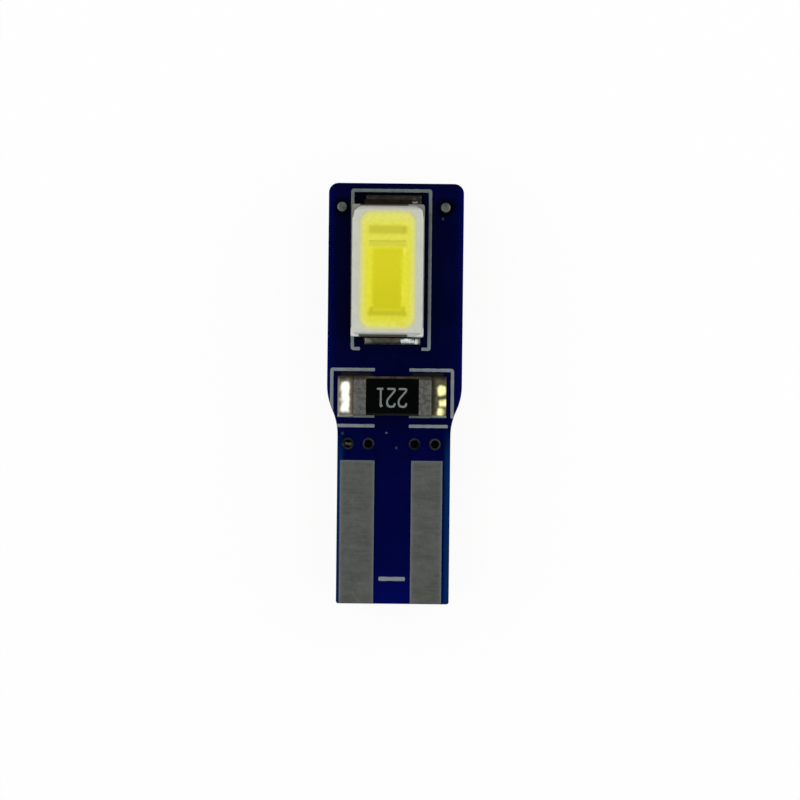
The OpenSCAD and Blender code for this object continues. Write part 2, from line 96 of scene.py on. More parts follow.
def place(points, face):
    """Frame coordinates in metres of points seen from a face. The back is the front turned half
    round the board's long axis, so x and h change sign there."""
    x, y, h = np.asarray(points, float).reshape(-1, 3).T
    if face == "front":
        seen_points = (ART_X + x, y, BOARD_HIGH[2] + h)
    else:
        seen_points = (ART_X - x, y, BOARD_LOW[2] - h)
    return np.stack(seen_points, 1) * MM


def seen(node):
    """Lowest and highest corner of a CAD node as seen from its own face."""
    low, high = box_mm(node)
    if node.startswith("front"):
        origin = np.array((ART_X, 0, BOARD_HIGH[2]))
        return low - origin, high - origin
    return (np.array((ART_X - high[0], low[1], BOARD_LOW[2] - high[2])),
            np.array((ART_X - low[0], high[1], BOARD_LOW[2] - low[2])))


def middle(node):
    """Middle of a CAD node as seen from its own face."""
    return sum(seen(node)) / 2


HEAD_HALF = (BOARD_HIGH[0] - BOARD_LOW[0]) / 2
BLADE_HALF = 2.325
SHOULDER_TOP = BOARD_HIGH[1] - 8.3
SHOULDER_LOW = SHOULDER_TOP - 2.06
COPPER_H = float(seen("front_supply_track")[1][2])
MASK_TOP = float(seen("front_solder_mask")[1][2])
MASK_H = MASK_TOP - COPPER_H
MASK_STEP = 0.03
SEAT = float(seen("front_led_housing")[0][2])
TRACK_W = 0.5


def via_places(node):
    """Middles of the two holes of a node with two barrels, seen from the front, and their width."""
    low, high = box_mm(node)
    drill = high[1] - low[1]
    y = (low[1] + high[1]) / 2
    return [(low[0] + drill / 2 - ART_X, y), (high[0] - drill / 2 - ART_X, y)], drill


CONTACT_VIAS = via_places("left_via_barrels")[0] + via_places("right_via_barrels")[0]
LINK_VIAS, DRILL = via_places("link_via_barrels")
HOLE_R = DRILL / 2 - 0.025
RING_R = 0.28
VIA_OPEN_R = 0.25


def half_outline(y):
    """Half the board's width at y: blade, shoulder of two equal arcs that meet in its middle, head."""
    drop = HEAD_HALF - BLADE_HALF
    run = SHOULDER_TOP - SHOULDER_LOW
    r = (run * run + drop * drop) / (4 * drop)
    upper = HEAD_HALF - r + np.sqrt(r * r - np.clip(SHOULDER_TOP - y, 0, run / 2) ** 2)
    lower = BLADE_HALF + r - np.sqrt(r * r - np.clip(y - SHOULDER_LOW, 0, run / 2) ** 2)
    return np.where(y > (SHOULDER_TOP + SHOULDER_LOW) / 2, upper, lower)


def from_box(x, y, low, high):
    """Distance from a rectangle: the length of what a point lies beyond it in x and in y."""
    dx = np.maximum(np.maximum(low[0] - x, x - high[0]), 0)
    dy = np.maximum(np.maximum(low[1] - y, y - high[1]), 0)
    return np.hypot(dx, dy)


def from_line(x, y, a, b):
    """Distance from a straight line from a to b: to the nearest of its points."""
    d = np.subtract(b, a)
    share = np.clip(((x - a[0]) * d[0] + (y - a[1]) * d[1]) / (d @ d), 0, 1)
    return np.hypot(x - a[0] - share * d[0], y - a[1] - share * d[1])


def mask_height(x, y):
    """Height of the solder mask: its own thickness, and the copper's where copper lies below or
    within the width of the step beside it. The distance to the copper is the least of those to
    its lands, rings and tracks. Seen from either face the copper is the same."""
    res_l, res_r = middle("front_resistor_left_solder"), middle("front_resistor_right_solder")
    lower_land = middle("front_led_lower_solder")
    turn_y = (seen("front_led_lower_solder")[0][1] + seen("front_resistor_left_solder")[1][1]) / 2
    away = [from_box(x, y, *seen(f"front_{name}")) for name in (
        "left_contact", "right_contact", "led_upper_solder", "led_lower_solder",
        "resistor_left_solder", "resistor_right_solder")]
    away += [np.hypot(x - vx, y - vy) - RING_R for vx, vy in CONTACT_VIAS + LINK_VIAS]
    mid_via = (CONTACT_VIAS[0][0] + CONTACT_VIAS[1][0]) / 2
    tracks = [LINK_VIAS, [(mid_via, CONTACT_VIAS[0][1]), res_l[:2]],
              [res_r[:2], (res_r[0], turn_y)], [(res_r[0], turn_y), (0, turn_y)],
              [(0, turn_y), (0, lower_land[1])]]
    away += [from_line(x, y, a, b) - TRACK_W / 2 for a, b in tracks]
    over = np.clip((MASK_STEP + 0.02 - np.minimum.reduce(away)) / 0.02, 0, 1)
    return MASK_H + COPPER_H * over


# Surfaces

def wave(s, seed, reach=1.0):
    """Smooth made-up unevenness between about -1 and 1: four sines along s with seeded turns."""
    random = np.random.default_rng(seed)
    turns, phases = random.uniform(0.6, 3.2, 4) * 2 * math.pi / reach, random.uniform(0, 6.3, 4)
    return sum(np.sin(s * t + p) for t, p in zip(turns, phases)) / 2.5


def loft(rings, joined=False):
    """Closed surface through a stack of closed rings, an array of level, step and coordinate. Each
    face joins two steps of two neighbouring levels. The ends close on the middles of the first and
    last ring, or on each other where they are joined."""
    levels, steps = rings.shape[:2]
    number = np.arange(levels * steps).reshape(levels, steps)
    turned = np.roll(number, -1, 1)
    quads = np.stack((number, turned, np.roll(turned, -1, 0), np.roll(number, -1, 0)), -1)
    if joined:
        return rings.reshape(-1, 3), quads.reshape(-1, 4), NO_TRIANGLES
    poles = np.full(steps, levels * steps)
    triangles = np.concatenate((np.stack((poles, turned[0], number[0]), 1),
                                np.stack((poles + 1, number[-1], turned[-1]), 1)))
    points = np.concatenate((rings.reshape(-1, 3), rings[[0, -1]].mean(1)))
    return points, quads[:-1].reshape(-1, 4), triangles


def slab(upper, lower):
    """Closed surface between two grids of points, rows by columns: both grids and a wall round them."""
    rows, columns = upper.shape[:2]
    count = rows * columns
    number = np.arange(count).reshape(rows, columns)
    face = np.stack((number[:-1, :-1], number[:-1, 1:], number[1:, 1:], number[1:, :-1]), -1)
    face = face.reshape(-1, 4)
    rim = np.concatenate((number[0, :-1], number[:-1, -1], number[-1, :0:-1], number[:0:-1, 0]))
    after = np.roll(rim, -1)
    wall = np.stack((rim + count, after + count, after, rim), -1)
    points = np.concatenate((upper.reshape(-1, 3), lower.reshape(-1, 3)))
    return points, np.concatenate((face, face[:, ::-1] + count, wall)), NO_TRIANGLES


def grid(width, length, radius, columns=41, rows=61):
    """Plan grid over a rectangle with round corners. A row's half width is the straight half less
    what the corner's circle takes there, and rows and columns are closer together at the edges."""
    u, v = (np.linspace(-1, 1, n) for n in (columns, rows))
    u, v = (0.5 * t + 0.5 * np.sin(t * math.pi / 2) for t in (u, v))
    y = v * length / 2
    into = np.clip(np.abs(y) - (length / 2 - radius), 0, radius)
    half = width / 2 - radius + np.sqrt(np.maximum(radius * radius - into * into, 0))
    return u[None, :] * half[:, None], np.broadcast_to(y[:, None], (rows, columns))


def rounded_ring(width, length, radius, arc=8, side=10):
    """Points round a rectangle with round corners: an arc of a quarter turn at each corner, and
    evenly spaced points on the straight side from it to the next."""
    corner = np.array(((1, 1), (-1, 1), (-1, -1), (1, -1))) * (width / 2 - radius, length / 2 - radius)
    angle = (np.arange(4)[:, None] + np.linspace(0, 1, arc + 1)) * math.pi / 2
    arcs = corner[:, None] + radius * np.stack((np.cos(angle), np.sin(angle)), -1)
    share = np.linspace(0, 1, side + 2)[1:-1, None]
    sides = arcs[:, -1:] * (1 - share) + np.roll(arcs[:, 0], -1, 0)[:, None] * share
    return np.concatenate((arcs, sides), 1).reshape(-1, 2)


def stack(levels):
    """Rings of rounded rectangles, one for each level's width, length, corner radius and height."""
    return np.array([np.column_stack((ring, np.full(len(ring), h)))
                     for w, l, r, h in levels for ring in [rounded_ring(w, l, r)]])


def quarter(steps=5):
    """Sines and cosines of a quarter turn."""
    a = np.linspace(0, math.pi / 2, steps)
    return np.sin(a), np.cos(a)


def soft_box(low, high, edge, corner, crown=0.0):
    """Block with round edges and corners: the plan shrinks along a quarter circle at the bottom and
    top edges, and the top rises by a crown to the middle."""
    low, high = np.array(low), np.array(high)
    size, centre = high - low, (high + low) / 2
    sine, cosine = quarter()
    levels = [(edge * (1 - s), low[2] + edge * (1 - c)) for s, c in zip(sine, cosine)]
    levels += [(edge * (1 - c), high[2] - edge * (1 - s)) for s, c in zip(sine, cosine)]
    inner = min(size[:2]) / 2 - edge
    levels += [(edge + inner * t, high[2] + crown * (1 - (1 - t) ** 2)) for t in (0.15, 0.35, 0.6, 0.9)]
    radius = [max(corner - inset, 0.3 * min(size[:2] - 2 * inset) * (inset > corner), 0.001)
              for inset, _ in levels]
    rings = stack([(size[0] - 2 * i, size[1] - 2 * i, r, h) for (i, h), r in zip(levels, radius)])
    return loft(rings + (centre[0], centre[1], 0))


def revolve(profile, centre, steps=40):
    """Rings round an upright axis, one for each radius and height of the profile."""
    angle = np.arange(steps) * 2 * math.pi / steps
    r, h = np.array(profile, float).T
    return np.stack((centre[0] + r[:, None] * np.cos(angle), centre[1] + r[:, None] * np.sin(angle),
                     np.broadcast_to(h[:, None], (len(r), steps))), -1)


def soft_path(corners, radius):
    """Even points along a line through corners, which a running mean over a radius rounds off."""
    corners = np.asarray(corners, float)
    run = np.r_[0, np.cumsum(np.hypot(*np.diff(corners, axis=0).T))]
    s = np.linspace(0, run[-1], max(8, int(run[-1] / PATH_STEP)))
    path = np.stack([np.interp(s, run, c) for c in corners.T], 1)
    reach = max(1, round(radius / PATH_STEP))
    padded = np.concatenate((2 * path[:1] - path[reach:0:-1], path,
                             2 * path[-1:] - path[-2:-reach - 2:-1]))
    mean = np.ones(2 * reach + 1) / (2 * reach + 1)
    return np.stack([np.convolve(c, mean, "valid") for c in padded.T], 1)


def ribbon(path, width, thick, ground, seed, uneven=0.0, limit=None):
    """Printed line: a low round profile carried along a path in the plane, on a ground height. Its
    ends are slightly round, its width varies a little along the path, and limit keeps x on the board."""
    along = np.gradient(path, axis=0)
    along /= np.hypot(*along.T)[:, None]
    across = np.stack((-along[:, 1], along[:, 0]), 1)
    s = np.r_[0, np.cumsum(np.hypot(*np.diff(path, axis=0).T))]
    from_end = np.minimum(s, s[-1] - s)
    ends = np.sqrt(np.clip(1 - (1 - np.clip(from_end / END_ROUND, 0, 1)) ** 2, 0.02, 1))
    half = width / 2 * ends * (1 + uneven * wave(s, seed, 0.7))
    t = np.r_[np.linspace(1, -1, 9), -1, 1]
    top = np.r_[(1 - np.abs(t[:9]) ** 4) * 0.7 + 0.3, 0, 0]
    plan = path[:, None] + across[:, None] * (t[None, :, None] * half[:, None, None])
    if limit is not None:
        edge_low, edge_high = limit(plan[..., 1])
        plan[..., 0] = np.clip(plan[..., 0], edge_low, edge_high)
    h = ground(plan[..., 0], plan[..., 1]) + thick * (top - 0.15 * (top == 0))
    return loft(np.concatenate((plan, h[..., None]), -1))


def add_piece(name, surfaces, material, replaced=(), sharp=38, edge_highlight=None):
    """Mesh piece of closed surfaces in metres of the frame. It rides on the board. Its last argument
    is a value for each point, kept as an attribute by which its finish paints a highlight."""
    counts = np.cumsum([0] + [len(points) for points, _, _ in surfaces])
    points = np.concatenate([p for p, _, _ in surfaces])
    faces = [f for (_, quads, tris), c in zip(surfaces, counts)
             for f in (quads + c).tolist() + (tris + c).tolist()]
    mesh = bpy.data.meshes.new(name)
    mesh.from_pydata(points.tolist(), [], faces)
    mesh.polygons.foreach_set("use_smooth", np.ones(len(mesh.polygons), bool))
    mesh.set_sharp_from_angle(angle=math.radians(sharp))
    mesh.materials.append(finish_named(material))
    if edge_highlight is not None:
        mesh.attributes.new("edge_highlight", "FLOAT", "POINT").data.foreach_set("value", edge_highlight.ravel())
    piece = bpy.data.objects.new(name, mesh)
    bpy.context.scene.collection.objects.link(piece)
    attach(piece, BODY)
    if replaced:
        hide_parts(*replaced)
    return piece


def on_face(surface, face):
    """A surface seen from a face, carried into the frame."""
    points, quads, triangles = surface
    return place(points, face), quads, triangles


def dress(nodes, material):
    """Gives CAD nodes a finish."""
    for node in nodes:
        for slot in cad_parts[node].material_slots:
            slot.material = finish_named(material)


# Finishes

def tone(r, g, b):
    """Linear colour of three display values from 0 to 255."""
    c = np.array((r, g, b)) / 255
    return (*np.where(c <= 0.04045, c / 12.92, ((c + 0.055) / 1.055) ** 2.4).tolist(), 1.0)


class Shader:
    """Adds nodes to a tree. An input is a value, or a socket that is linked to it."""

    def __init__(self, tree):
        self.tree = tree

    def add(self, kind, inputs=(), **settings):
        node = self.tree.nodes.new("ShaderNode" + kind)
        for name, value in settings.items():
            setattr(node, name, value)
        for key, value in dict(inputs).items():
            if isinstance(value, bpy.types.NodeSocket):
                self.tree.links.new(value, node.inputs[key])
            else:
                node.inputs[key].default_value = value
        return node

    def math(self, operation, *values):
        return self.add("Math", enumerate(values), operation=operation).outputs[0]

    def vector(self, operation, *values):
        return self.add("VectorMath", enumerate(values), operation=operation).outputs[0]

    def mix(self, share, first, second):
        return self.add("Mix", {0: share, 6: first, 7: second}, data_type="RGBA").outputs[2]

    def span(self, value, low, high, first=0.0, last=1.0):
        """Smooth step from first to last as the value goes from low to high."""
        return self.add("MapRange", {0: value, 1: low, 2: high, 3: first, 4: last},
                        interpolation_type="SMOOTHSTEP").outputs[0]

    def noise(self, point, scale, detail=3.0, rough=0.55):
        return self.add("TexNoise", {"Vector": point, "Scale": scale, "Detail": detail,
                                     "Roughness": rough}).outputs[0]

    def split(self, point):
        return self.add("SeparateXYZ", {0: point}).outputs

    def warp(self, point, scale, reach):
        """The point, moved about by a noise, so that what is drawn on it has uneven edges."""
        cloud = self.add("TexNoise", {"Vector": point, "Scale": scale, "Detail": 2.0}).outputs["Color"]
        away = self.vector("SUBTRACT", cloud, (0.5, 0.5, 0.5))
        return self.vector("MULTIPLY_ADD", away, (reach, reach, reach), point)

    def zone(self, point, centre, half, soft=0.1, corner=0.1):
        return self.group("Flat zone", Vector=point, Centre=(*centre, 0), Half=(*half, 1), Soft=soft,
                          Round=corner)[0]

    def lay(self, colour, share, amount, over):
        """A colour with another laid over it, by a mask times an amount."""
        return self.mix(self.math("MULTIPLY", share, amount), colour, over)

    def group(self, name, **inputs):
        tree = bpy.data.node_groups.get(name) or GROUPS[name](name)
        return self.add("Group", {k.replace("_", " "): v for k, v in inputs.items()},
                        node_tree=tree).outputs


def new_group(name, inputs, outputs, build):
    """Shader node group with named inputs and outputs. build returns a socket for each output."""
    tree = bpy.data.node_groups.new(name, "ShaderNodeTree")
    for label, default in inputs.items():
        kind = "NodeSocketVector" if isinstance(default, tuple) else "NodeSocketFloat"
        tree.interface.new_socket(label, in_out="INPUT", socket_type=kind).default_value = default
    for label in outputs:
        tree.interface.new_socket(label, in_out="OUTPUT", socket_type="NodeSocketFloat")
    given = tree.nodes.new("NodeGroupInput").outputs
    result = tree.nodes.new("NodeGroupOutput").inputs
    for label, socket in build(Shader(tree), given).items():
        tree.links.new(socket, result[label])
    return tree


def mottling_group(name):
    """Cloudy mask: two noises, one over three times finer, added and stretched to run from 0 to 1."""
    def build(s, given):
        fine = s.math("MULTIPLY", given["Scale"], 3.7)
        cloud = s.math("MULTIPLY", s.noise(given["Vector"], given["Scale"], 4.0), 0.65)
        both = s.math("MULTIPLY_ADD", s.noise(given["Vector"], fine), 0.35, cloud)
        low = s.math("SUBTRACT", 0.5, given["Spread"])
        return {"Mask": s.span(both, low, s.math("ADD", 0.5, given["Spread"]))}
    return new_group(name, {"Vector": (0, 0, 0), "Scale": 2.0, "Spread": 0.15}, ["Mask"], build)


def zone_group(name):
    """Rectangle with round corners seen from above: inside is 1 within it and falls to 0 over a
    soft border. A point's distance is taken from a rectangle smaller by the radius, less it."""
    def build(s, given):
        away = s.vector("ABSOLUTE", s.vector("SUBTRACT", given["Vector"], given["Centre"]))
        x, y = s.split(s.vector("SUBTRACT", away, given["Half"]))[:2]
        x, y = (s.math("ADD", t, given["Round"]) for t in (x, y))
        outer_x, outer_y = (s.math("MAXIMUM", t, 0.0) for t in (x, y))
        outside = s.math("SQRT", s.math("MULTIPLY_ADD", outer_x, outer_x,
                                        s.math("MULTIPLY", outer_y, outer_y)))
        inside = s.math("MINIMUM", s.math("MAXIMUM", x, y), 0.0)
        distance = s.math("SUBTRACT", s.math("ADD", outside, inside), given["Round"])
        outer = s.math("MULTIPLY", given["Soft"], 0.5)
        return {"Inside": s.span(distance, outer, s.math("MULTIPLY", outer, -1.0))}
    return new_group(name, {"Vector": (0, 0, 0), "Centre": (0, 0, 0), "Half": (1, 1, 1), "Soft": 0.1,
                            "Round": 0.1}, ["Inside"], build)


def scratches_group(name):
    """Fine curved lines: where a slow noise passes its middle value, kept only in patches."""
    def build(s, given):
        slow = s.noise(given["Vector"], given["Scale"], 1.0)
        off = s.math("ABSOLUTE", s.math("SUBTRACT", slow, 0.5))
        line = s.span(off, given["Width"], 0.0)
        patch_scale = s.math("MULTIPLY", given["Scale"], 2.3)
        patches = s.span(s.noise(given["Vector"], patch_scale, 0.0), 0.5, 0.62)
        return {"Mask": s.math("MULTIPLY", line, patches)}
    return new_group(name, {"Vector": (0, 0, 0), "Scale": 0.8, "Width": 0.01}, ["Mask"], build)


def specks_group(name):
    """Scattered dots: the middles of a few cells of a cell pattern."""
    def build(s, given):
        cells = s.add("TexVoronoi", {"Vector": given["Vector"], "Scale": given["Scale"]})
        dot = s.span(cells.outputs["Distance"], 0.22, 0.1)
        chosen = s.math("LESS_THAN", s.split(cells.outputs["Color"])[0], given["Share"])
        return {"Mask": s.math("MULTIPLY", dot, chosen)}
    return new_group(name, {"Vector": (0, 0, 0), "Scale": 3.0, "Share": 0.1}, ["Mask"], build)


GROUPS = {"Mottling": mottling_group, "Flat zone": zone_group, "Fine scratches": scratches_group,
          "Specks": specks_group}


def new_finish(name, build, scale=(1, 1, 1), shift=(0, 0, 0), **fixed):
    """Material on Object coordinates in millimetres. build returns its changing sockets, with Height
    for a bump and its depth in millimetres; fixed values go straight on the shader."""
    material = bpy.data.materials.new(name)
    material.use_nodes = True
    tree = material.node_tree
    tree.nodes.clear()
    s = Shader(tree)
    where = s.add("TexCoord").outputs["Object"]
    point = s.add("Mapping", {"Vector": where, "Location": shift,
                              "Scale": tuple(k / MM for k in scale)}).outputs[0]
    made = build(s, point)
    height, depth = made.pop("Height", None), made.pop("Depth", 0.002)
    shader = s.add("BsdfPrincipled", {k.replace("_", " "): v for k, v in fixed.items()})
    for key, socket in made.items():
        tree.links.new(socket, shader.inputs[key])
    if height is not None:
        bump = s.add("Bump", {"Strength": 1.0, "Distance": depth * MM, "Height": height})
        tree.links.new(bump.outputs[0], shader.inputs["Normal"])
    out = s.add("OutputMaterial")
    tree.links.new(shader.outputs[0], out.inputs[0])
    return material


def look():
    return bpy.context.scene.wedge_bulb


def laminate_finish(name):
    """Routed edge of glass cloth in resin: thin layers along Z, with fibres as fine noise."""
    def build(s, p):
        x, y, z = s.split(p)
        uneven = s.math("MULTIPLY_ADD", s.noise(p, 1.2, 1.0), 0.08, z)
        layer = s.math("SINE", s.math("MULTIPLY", uneven, 2 * math.pi / 0.135))
        fibre = s.noise(s.vector("MULTIPLY", p, (7.0, 7.0, 40.0)), 1.0, 3.0)
        share = s.math("MULTIPLY_ADD", layer, 0.14, s.math("MULTIPLY", fibre, 1.1))
        colour = s.mix(share, look().laminate_dark, look().laminate_light)
        return {"Base Color": colour, "Roughness": s.span(fibre, 0.3, 0.7, 0.45, 0.75),
                "Height": fibre, "Depth": 0.008}
    return new_finish(name, build, Specular_IOR_Level=0.3)


MASK_SPECKS = (0.2, -2.22), (2.02, 7.21), (-2.02, -1.64)


def mask_finish(name):
    """Navy lacquer with faint clouds, specks and a slightly wavy skin. Painted shade and reflection:
    nearly black round the LED and above it, bluer towards the tip and along the edges, with painted
    light along the blade's edges. Nearly black also round the filled vias, and dark brown as painted
    shade above the resistor's lands."""
    led_x, led_y, _ = middle("front_led_housing")
    led_top = float(seen("front_led_upper_solder")[1][1])
    land_x, land_top = middle("front_resistor_right_solder")[0], seen("front_resistor_right_solder")[1][1]

    def build(s, p):
        x, y, z = s.split(p)
        clouds = s.group("Mottling", Vector=p, Scale=0.9, Spread=0.2)[0]
        # Painted reflection: the mask grows bluer from the head towards the tip.
        down = s.span(y, 4.0, -8.6)
        share = s.math("ADD", s.math("MULTIPLY", clouds, 0.15), s.math("MULTIPLY", down, 0.35))
        share = s.math("ADD", share, s.span(y, -6.8, -8.4, 0.0, 0.5))
        colour = s.mix(share, look().mask_dark, look().mask_blue_sheen)
        # Painted shade: nearly black round the LED.
        colour = s.lay(colour, s.zone(p, (ART_X + led_x, led_y), (1.8, 3.1), 1.2, 0.6), 0.8, look().mask_shade)
        # Painted shade: nearly black above the LED, inside the printed frame.
        above_led = s.zone(p, (ART_X + led_x, led_top - 0.12), (1.5, 0.3), 0.3)
        colour = s.lay(colour, above_led, 0.9, look().mask_black)
        flat = s.vector("MULTIPLY", p, (1.0, 1.0, 0.0))
        # Nearly black round the filled vias.
        for vx, vy in LINK_VIAS:
            reach = s.add("VectorMath", {0: flat, 1: (ART_X + vx, vy, 0)}, operation="DISTANCE")
            colour = s.lay(colour, s.span(reach.outputs["Value"], 0.46, 0.3), 0.9, look().mask_black)
        # Painted shade, dark brown, above the resistor's lands.
        for sign in SIDES.values():
            spot = (ART_X + sign * land_x, land_top + 0.04)
            colour = s.lay(colour, s.zone(p, spot, (0.64, 0.08), 0.08), 0.9, look().dark_brown_shade)
        # Painted light along the edges of the blade, in teal.
        blade = s.span(y, -1.2, -3.0)
        edge = s.math("MULTIPLY", s.span(s.math("ABSOLUTE", x), 2.0, 2.2), blade)
        colour = s.lay(colour, edge, 0.9, look().mask_edge_light)
        # Painted reflection: bluer along the edges of the head.
        head_edge = s.span(s.math("ABSOLUTE", x), 2.4, 2.76)
        colour = s.lay(colour, head_edge, 0.6, look().mask_blue_sheen)
        for speck_x, speck_y in MASK_SPECKS:
            speck = s.zone(p, (ART_X + speck_x, speck_y), (0.04, 0.05), 0.07, 0.03)
            colour = s.lay(colour, speck, 0.15, look().legend)
        skin = s.noise(p, 5.0, 3.0)
        return {"Base Color": colour, "Roughness": s.span(clouds, 0.0, 1.0, 0.3, 0.42),
                "Height": skin, "Depth": 0.003}
    return new_finish(name, build, Specular_IOR_Level=0.015)


def ink_finish(name):
    """Grey-white printing ink, grainy, and dimmer towards the LED."""
    def build(s, p):
        clouds = s.group("Mottling", Vector=p, Scale=3.0, Spread=0.2)[0]
        grain = s.noise(p, 28.0, 2.0)
        down = s.span(s.split(p)[1], 8.5, 0.0)
        fine = s.math("MULTIPLY_ADD", clouds, 0.3, s.math("MULTIPLY", grain, 0.2))
        colour = s.mix(s.math("MULTIPLY_ADD", down, 0.5, fine), look().legend_dim, look().legend)
        return {"Base Color": colour, "Roughness": s.span(grain, 0.3, 0.7, 0.5, 0.7),
                "Height": grain, "Depth": 0.003}
    return new_finish(name, build, Specular_IOR_Level=0.06)


def tin_finish(name):
    """Levelled tin: cloudy grey, faintly streaked across the blade, with a few fine scratches and
    a painted highlight along its edges."""
    def build(s, p):
        clouds = s.group("Mottling", Vector=p, Scale=1.3, Spread=0.2)[0]
        patches = s.group("Mottling", Vector=s.vector("ADD", p, (7.0, 3.0, 0.0)), Scale=5.0, Spread=0.2)[0]
        streaks = s.noise(s.vector("MULTIPLY", p, (0.8, 8.0, 1.0)), 1.6, 2.0)
        share = s.math("MULTIPLY_ADD", clouds, 0.45, s.math("MULTIPLY", patches, 0.3))
        share = s.math("MULTIPLY_ADD", s.span(streaks, 0.35, 0.65), 0.25, share)
        colour = s.mix(share, look().tin_dark, look().tin_light)
        lines = s.group("Fine scratches", Vector=p, Scale=0.8, Width=0.006)[0]
        colour = s.lay(colour, lines, 0.3, look().tin_scratch_and_edge_highlight)
        # Painted highlight along the contacts' edges, by the attribute that they carry.
        edge_highlight = s.add("Attribute", attribute_name="edge_highlight").outputs["Fac"]
        colour = s.lay(colour, edge_highlight, 0.8, look().tin_scratch_and_edge_highlight)
        return {"Base Color": colour, "Roughness": s.span(share, 0.2, 0.8, 0.45, 0.58),
                "Height": share, "Depth": 0.003}
    return new_finish(name, build, Metallic=0.8)


def left_glint(s, p):
    """Mask of a painted glint in the outer left via."""
    x, y = CONTACT_VIAS[0]
    return s.zone(s.warp(p, 6.0, 0.1), (ART_X + x, y - 0.02), (0.13, 0.04), 0.08, 0.03)


def via_tin_finish(name):
    """Thin tin of the vias' rims, dark where the lacquer has crept over it."""
    def build(s, p):
        clouds = s.group("Mottling", Vector=p, Scale=1.4, Spread=0.12)[0]
        colour = s.mix(clouds, tone(9, 14, 20), tone(52, 57, 56))
        # Painted glint on the rim of the outer left via.
        colour = s.lay(colour, left_glint(s, p), 0.9, look().painted_via_glint)
        return {"Base Color": colour, "Roughness": s.span(clouds, 0, 1, 0.55, 0.4),
                "Height": s.noise(p, 6.0), "Depth": 0.004}
    return new_finish(name, build, Metallic=0.5, Specular_IOR_Level=0.1)


def shade_plug_finish(name):
    """Nearly black sheets set in the open vias, painted shade standing in for their dark holes."""
    def build(s, p):
        clouds = s.group("Mottling", Vector=p, Scale=5.0, Spread=0.2)[0]
        colour = s.mix(clouds, tone(1, 3, 3), tone(6, 8, 10))
        # Painted glint in the outer left via.
        colour = s.lay(colour, left_glint(s, p), 0.9, look().painted_via_glint)
        return {"Base Color": colour, "Roughness": s.span(clouds, 0, 1, 0.4, 0.6),
                "Height": clouds, "Depth": 0.004}
    return new_finish(name, build, Specular_IOR_Level=0.03)


def copper_finish(name):
    """Etched copper, dulled in clouds."""
    def build(s, p):
        clouds = s.group("Mottling", Vector=p, Scale=2.5, Spread=0.2)[0]
        colour = s.mix(clouds, tone(62, 46, 32), tone(96, 72, 50))
        return {"Base Color": colour, "Roughness": s.span(clouds, 0, 1, 0.35, 0.55),
                "Height": s.noise(p, 12.0), "Depth": 0.002}
    return new_finish(name, build, Metallic=1.0)


def solder_finish(name):
    """Dull grey solder of the filled vias and of the bead on the mask."""
    def build(s, p):
        clouds = s.group("Mottling", Vector=p, Scale=3.0, Spread=0.16)[0]
        colour = s.mix(clouds, look().solder_dull, look().solder_light)
        return {"Base Color": colour, "Roughness": s.span(clouds, 0, 1, 0.55, 0.42),
                "Height": s.noise(p, 5.0, 2.0), "Depth": 0.006}
    return new_finish(name, build, Metallic=0.7)


def led_solder_finish(name):
    """Solder of the LED's joints, olive under flux and dim. Painted light and shade: the upper one is
    darker, with a small painted glint beside the lead; the lower one is lighter, with a pale patch, a
    broken painted glint and a pale toe."""
    def build(s, p):
        clouds = s.group("Mottling", Vector=p, Scale=2.2, Spread=0.16)[0]
        moved = s.warp(p, 5.0, 0.12)
        # Painted shade: the upper joint is darker, with a painted glint beside the lead.
        upper = s.mix(clouds, tone(18, 16, 13), tone(52, 48, 38))
        upper = s.lay(upper, s.zone(moved, (1.0, 2.8), (0.2, 0.035), 0.05, 0.03), 0.8, tone(178, 180, 172))
        lower = s.mix(clouds, look().flux_olive, tone(92, 94, 82))
        lower = s.lay(lower, s.zone(moved, (-0.84, -2.94), (0.2, 0.14), 0.14), 0.8, tone(130, 134, 120))
        lower = s.lay(lower, s.zone(moved, (0, -3.08), (1.3, 0.06), 0.06, 0.02), 0.8, tone(116, 138, 128))
        # Painted glint on the lower joint, broken by a noise.
        broken = s.span(s.noise(p, 5.0, 1.0), 0.38, 0.48)
        glint = s.math("MULTIPLY", s.zone(moved, (0.92, -2.9), (0.36, 0.1), 0.08, 0.05), broken)
        lower = s.lay(lower, glint, 1.0, tone(240, 245, 246))
        # Painted shade on the upper joint, painted light on the lower one.
        colour = s.mix(s.span(s.split(p)[1], 0.1, -0.1), upper, lower)
        return {"Base Color": colour, "Roughness": s.span(clouds, 0, 1, 0.5, 0.36),
                "Height": s.noise(p, 4.0, 2.0), "Depth": 0.012}
    scale, shift = led_mapping(name.split("_")[0])
    return new_finish(name, build, scale=scale, shift=shift, Metallic=0.7)


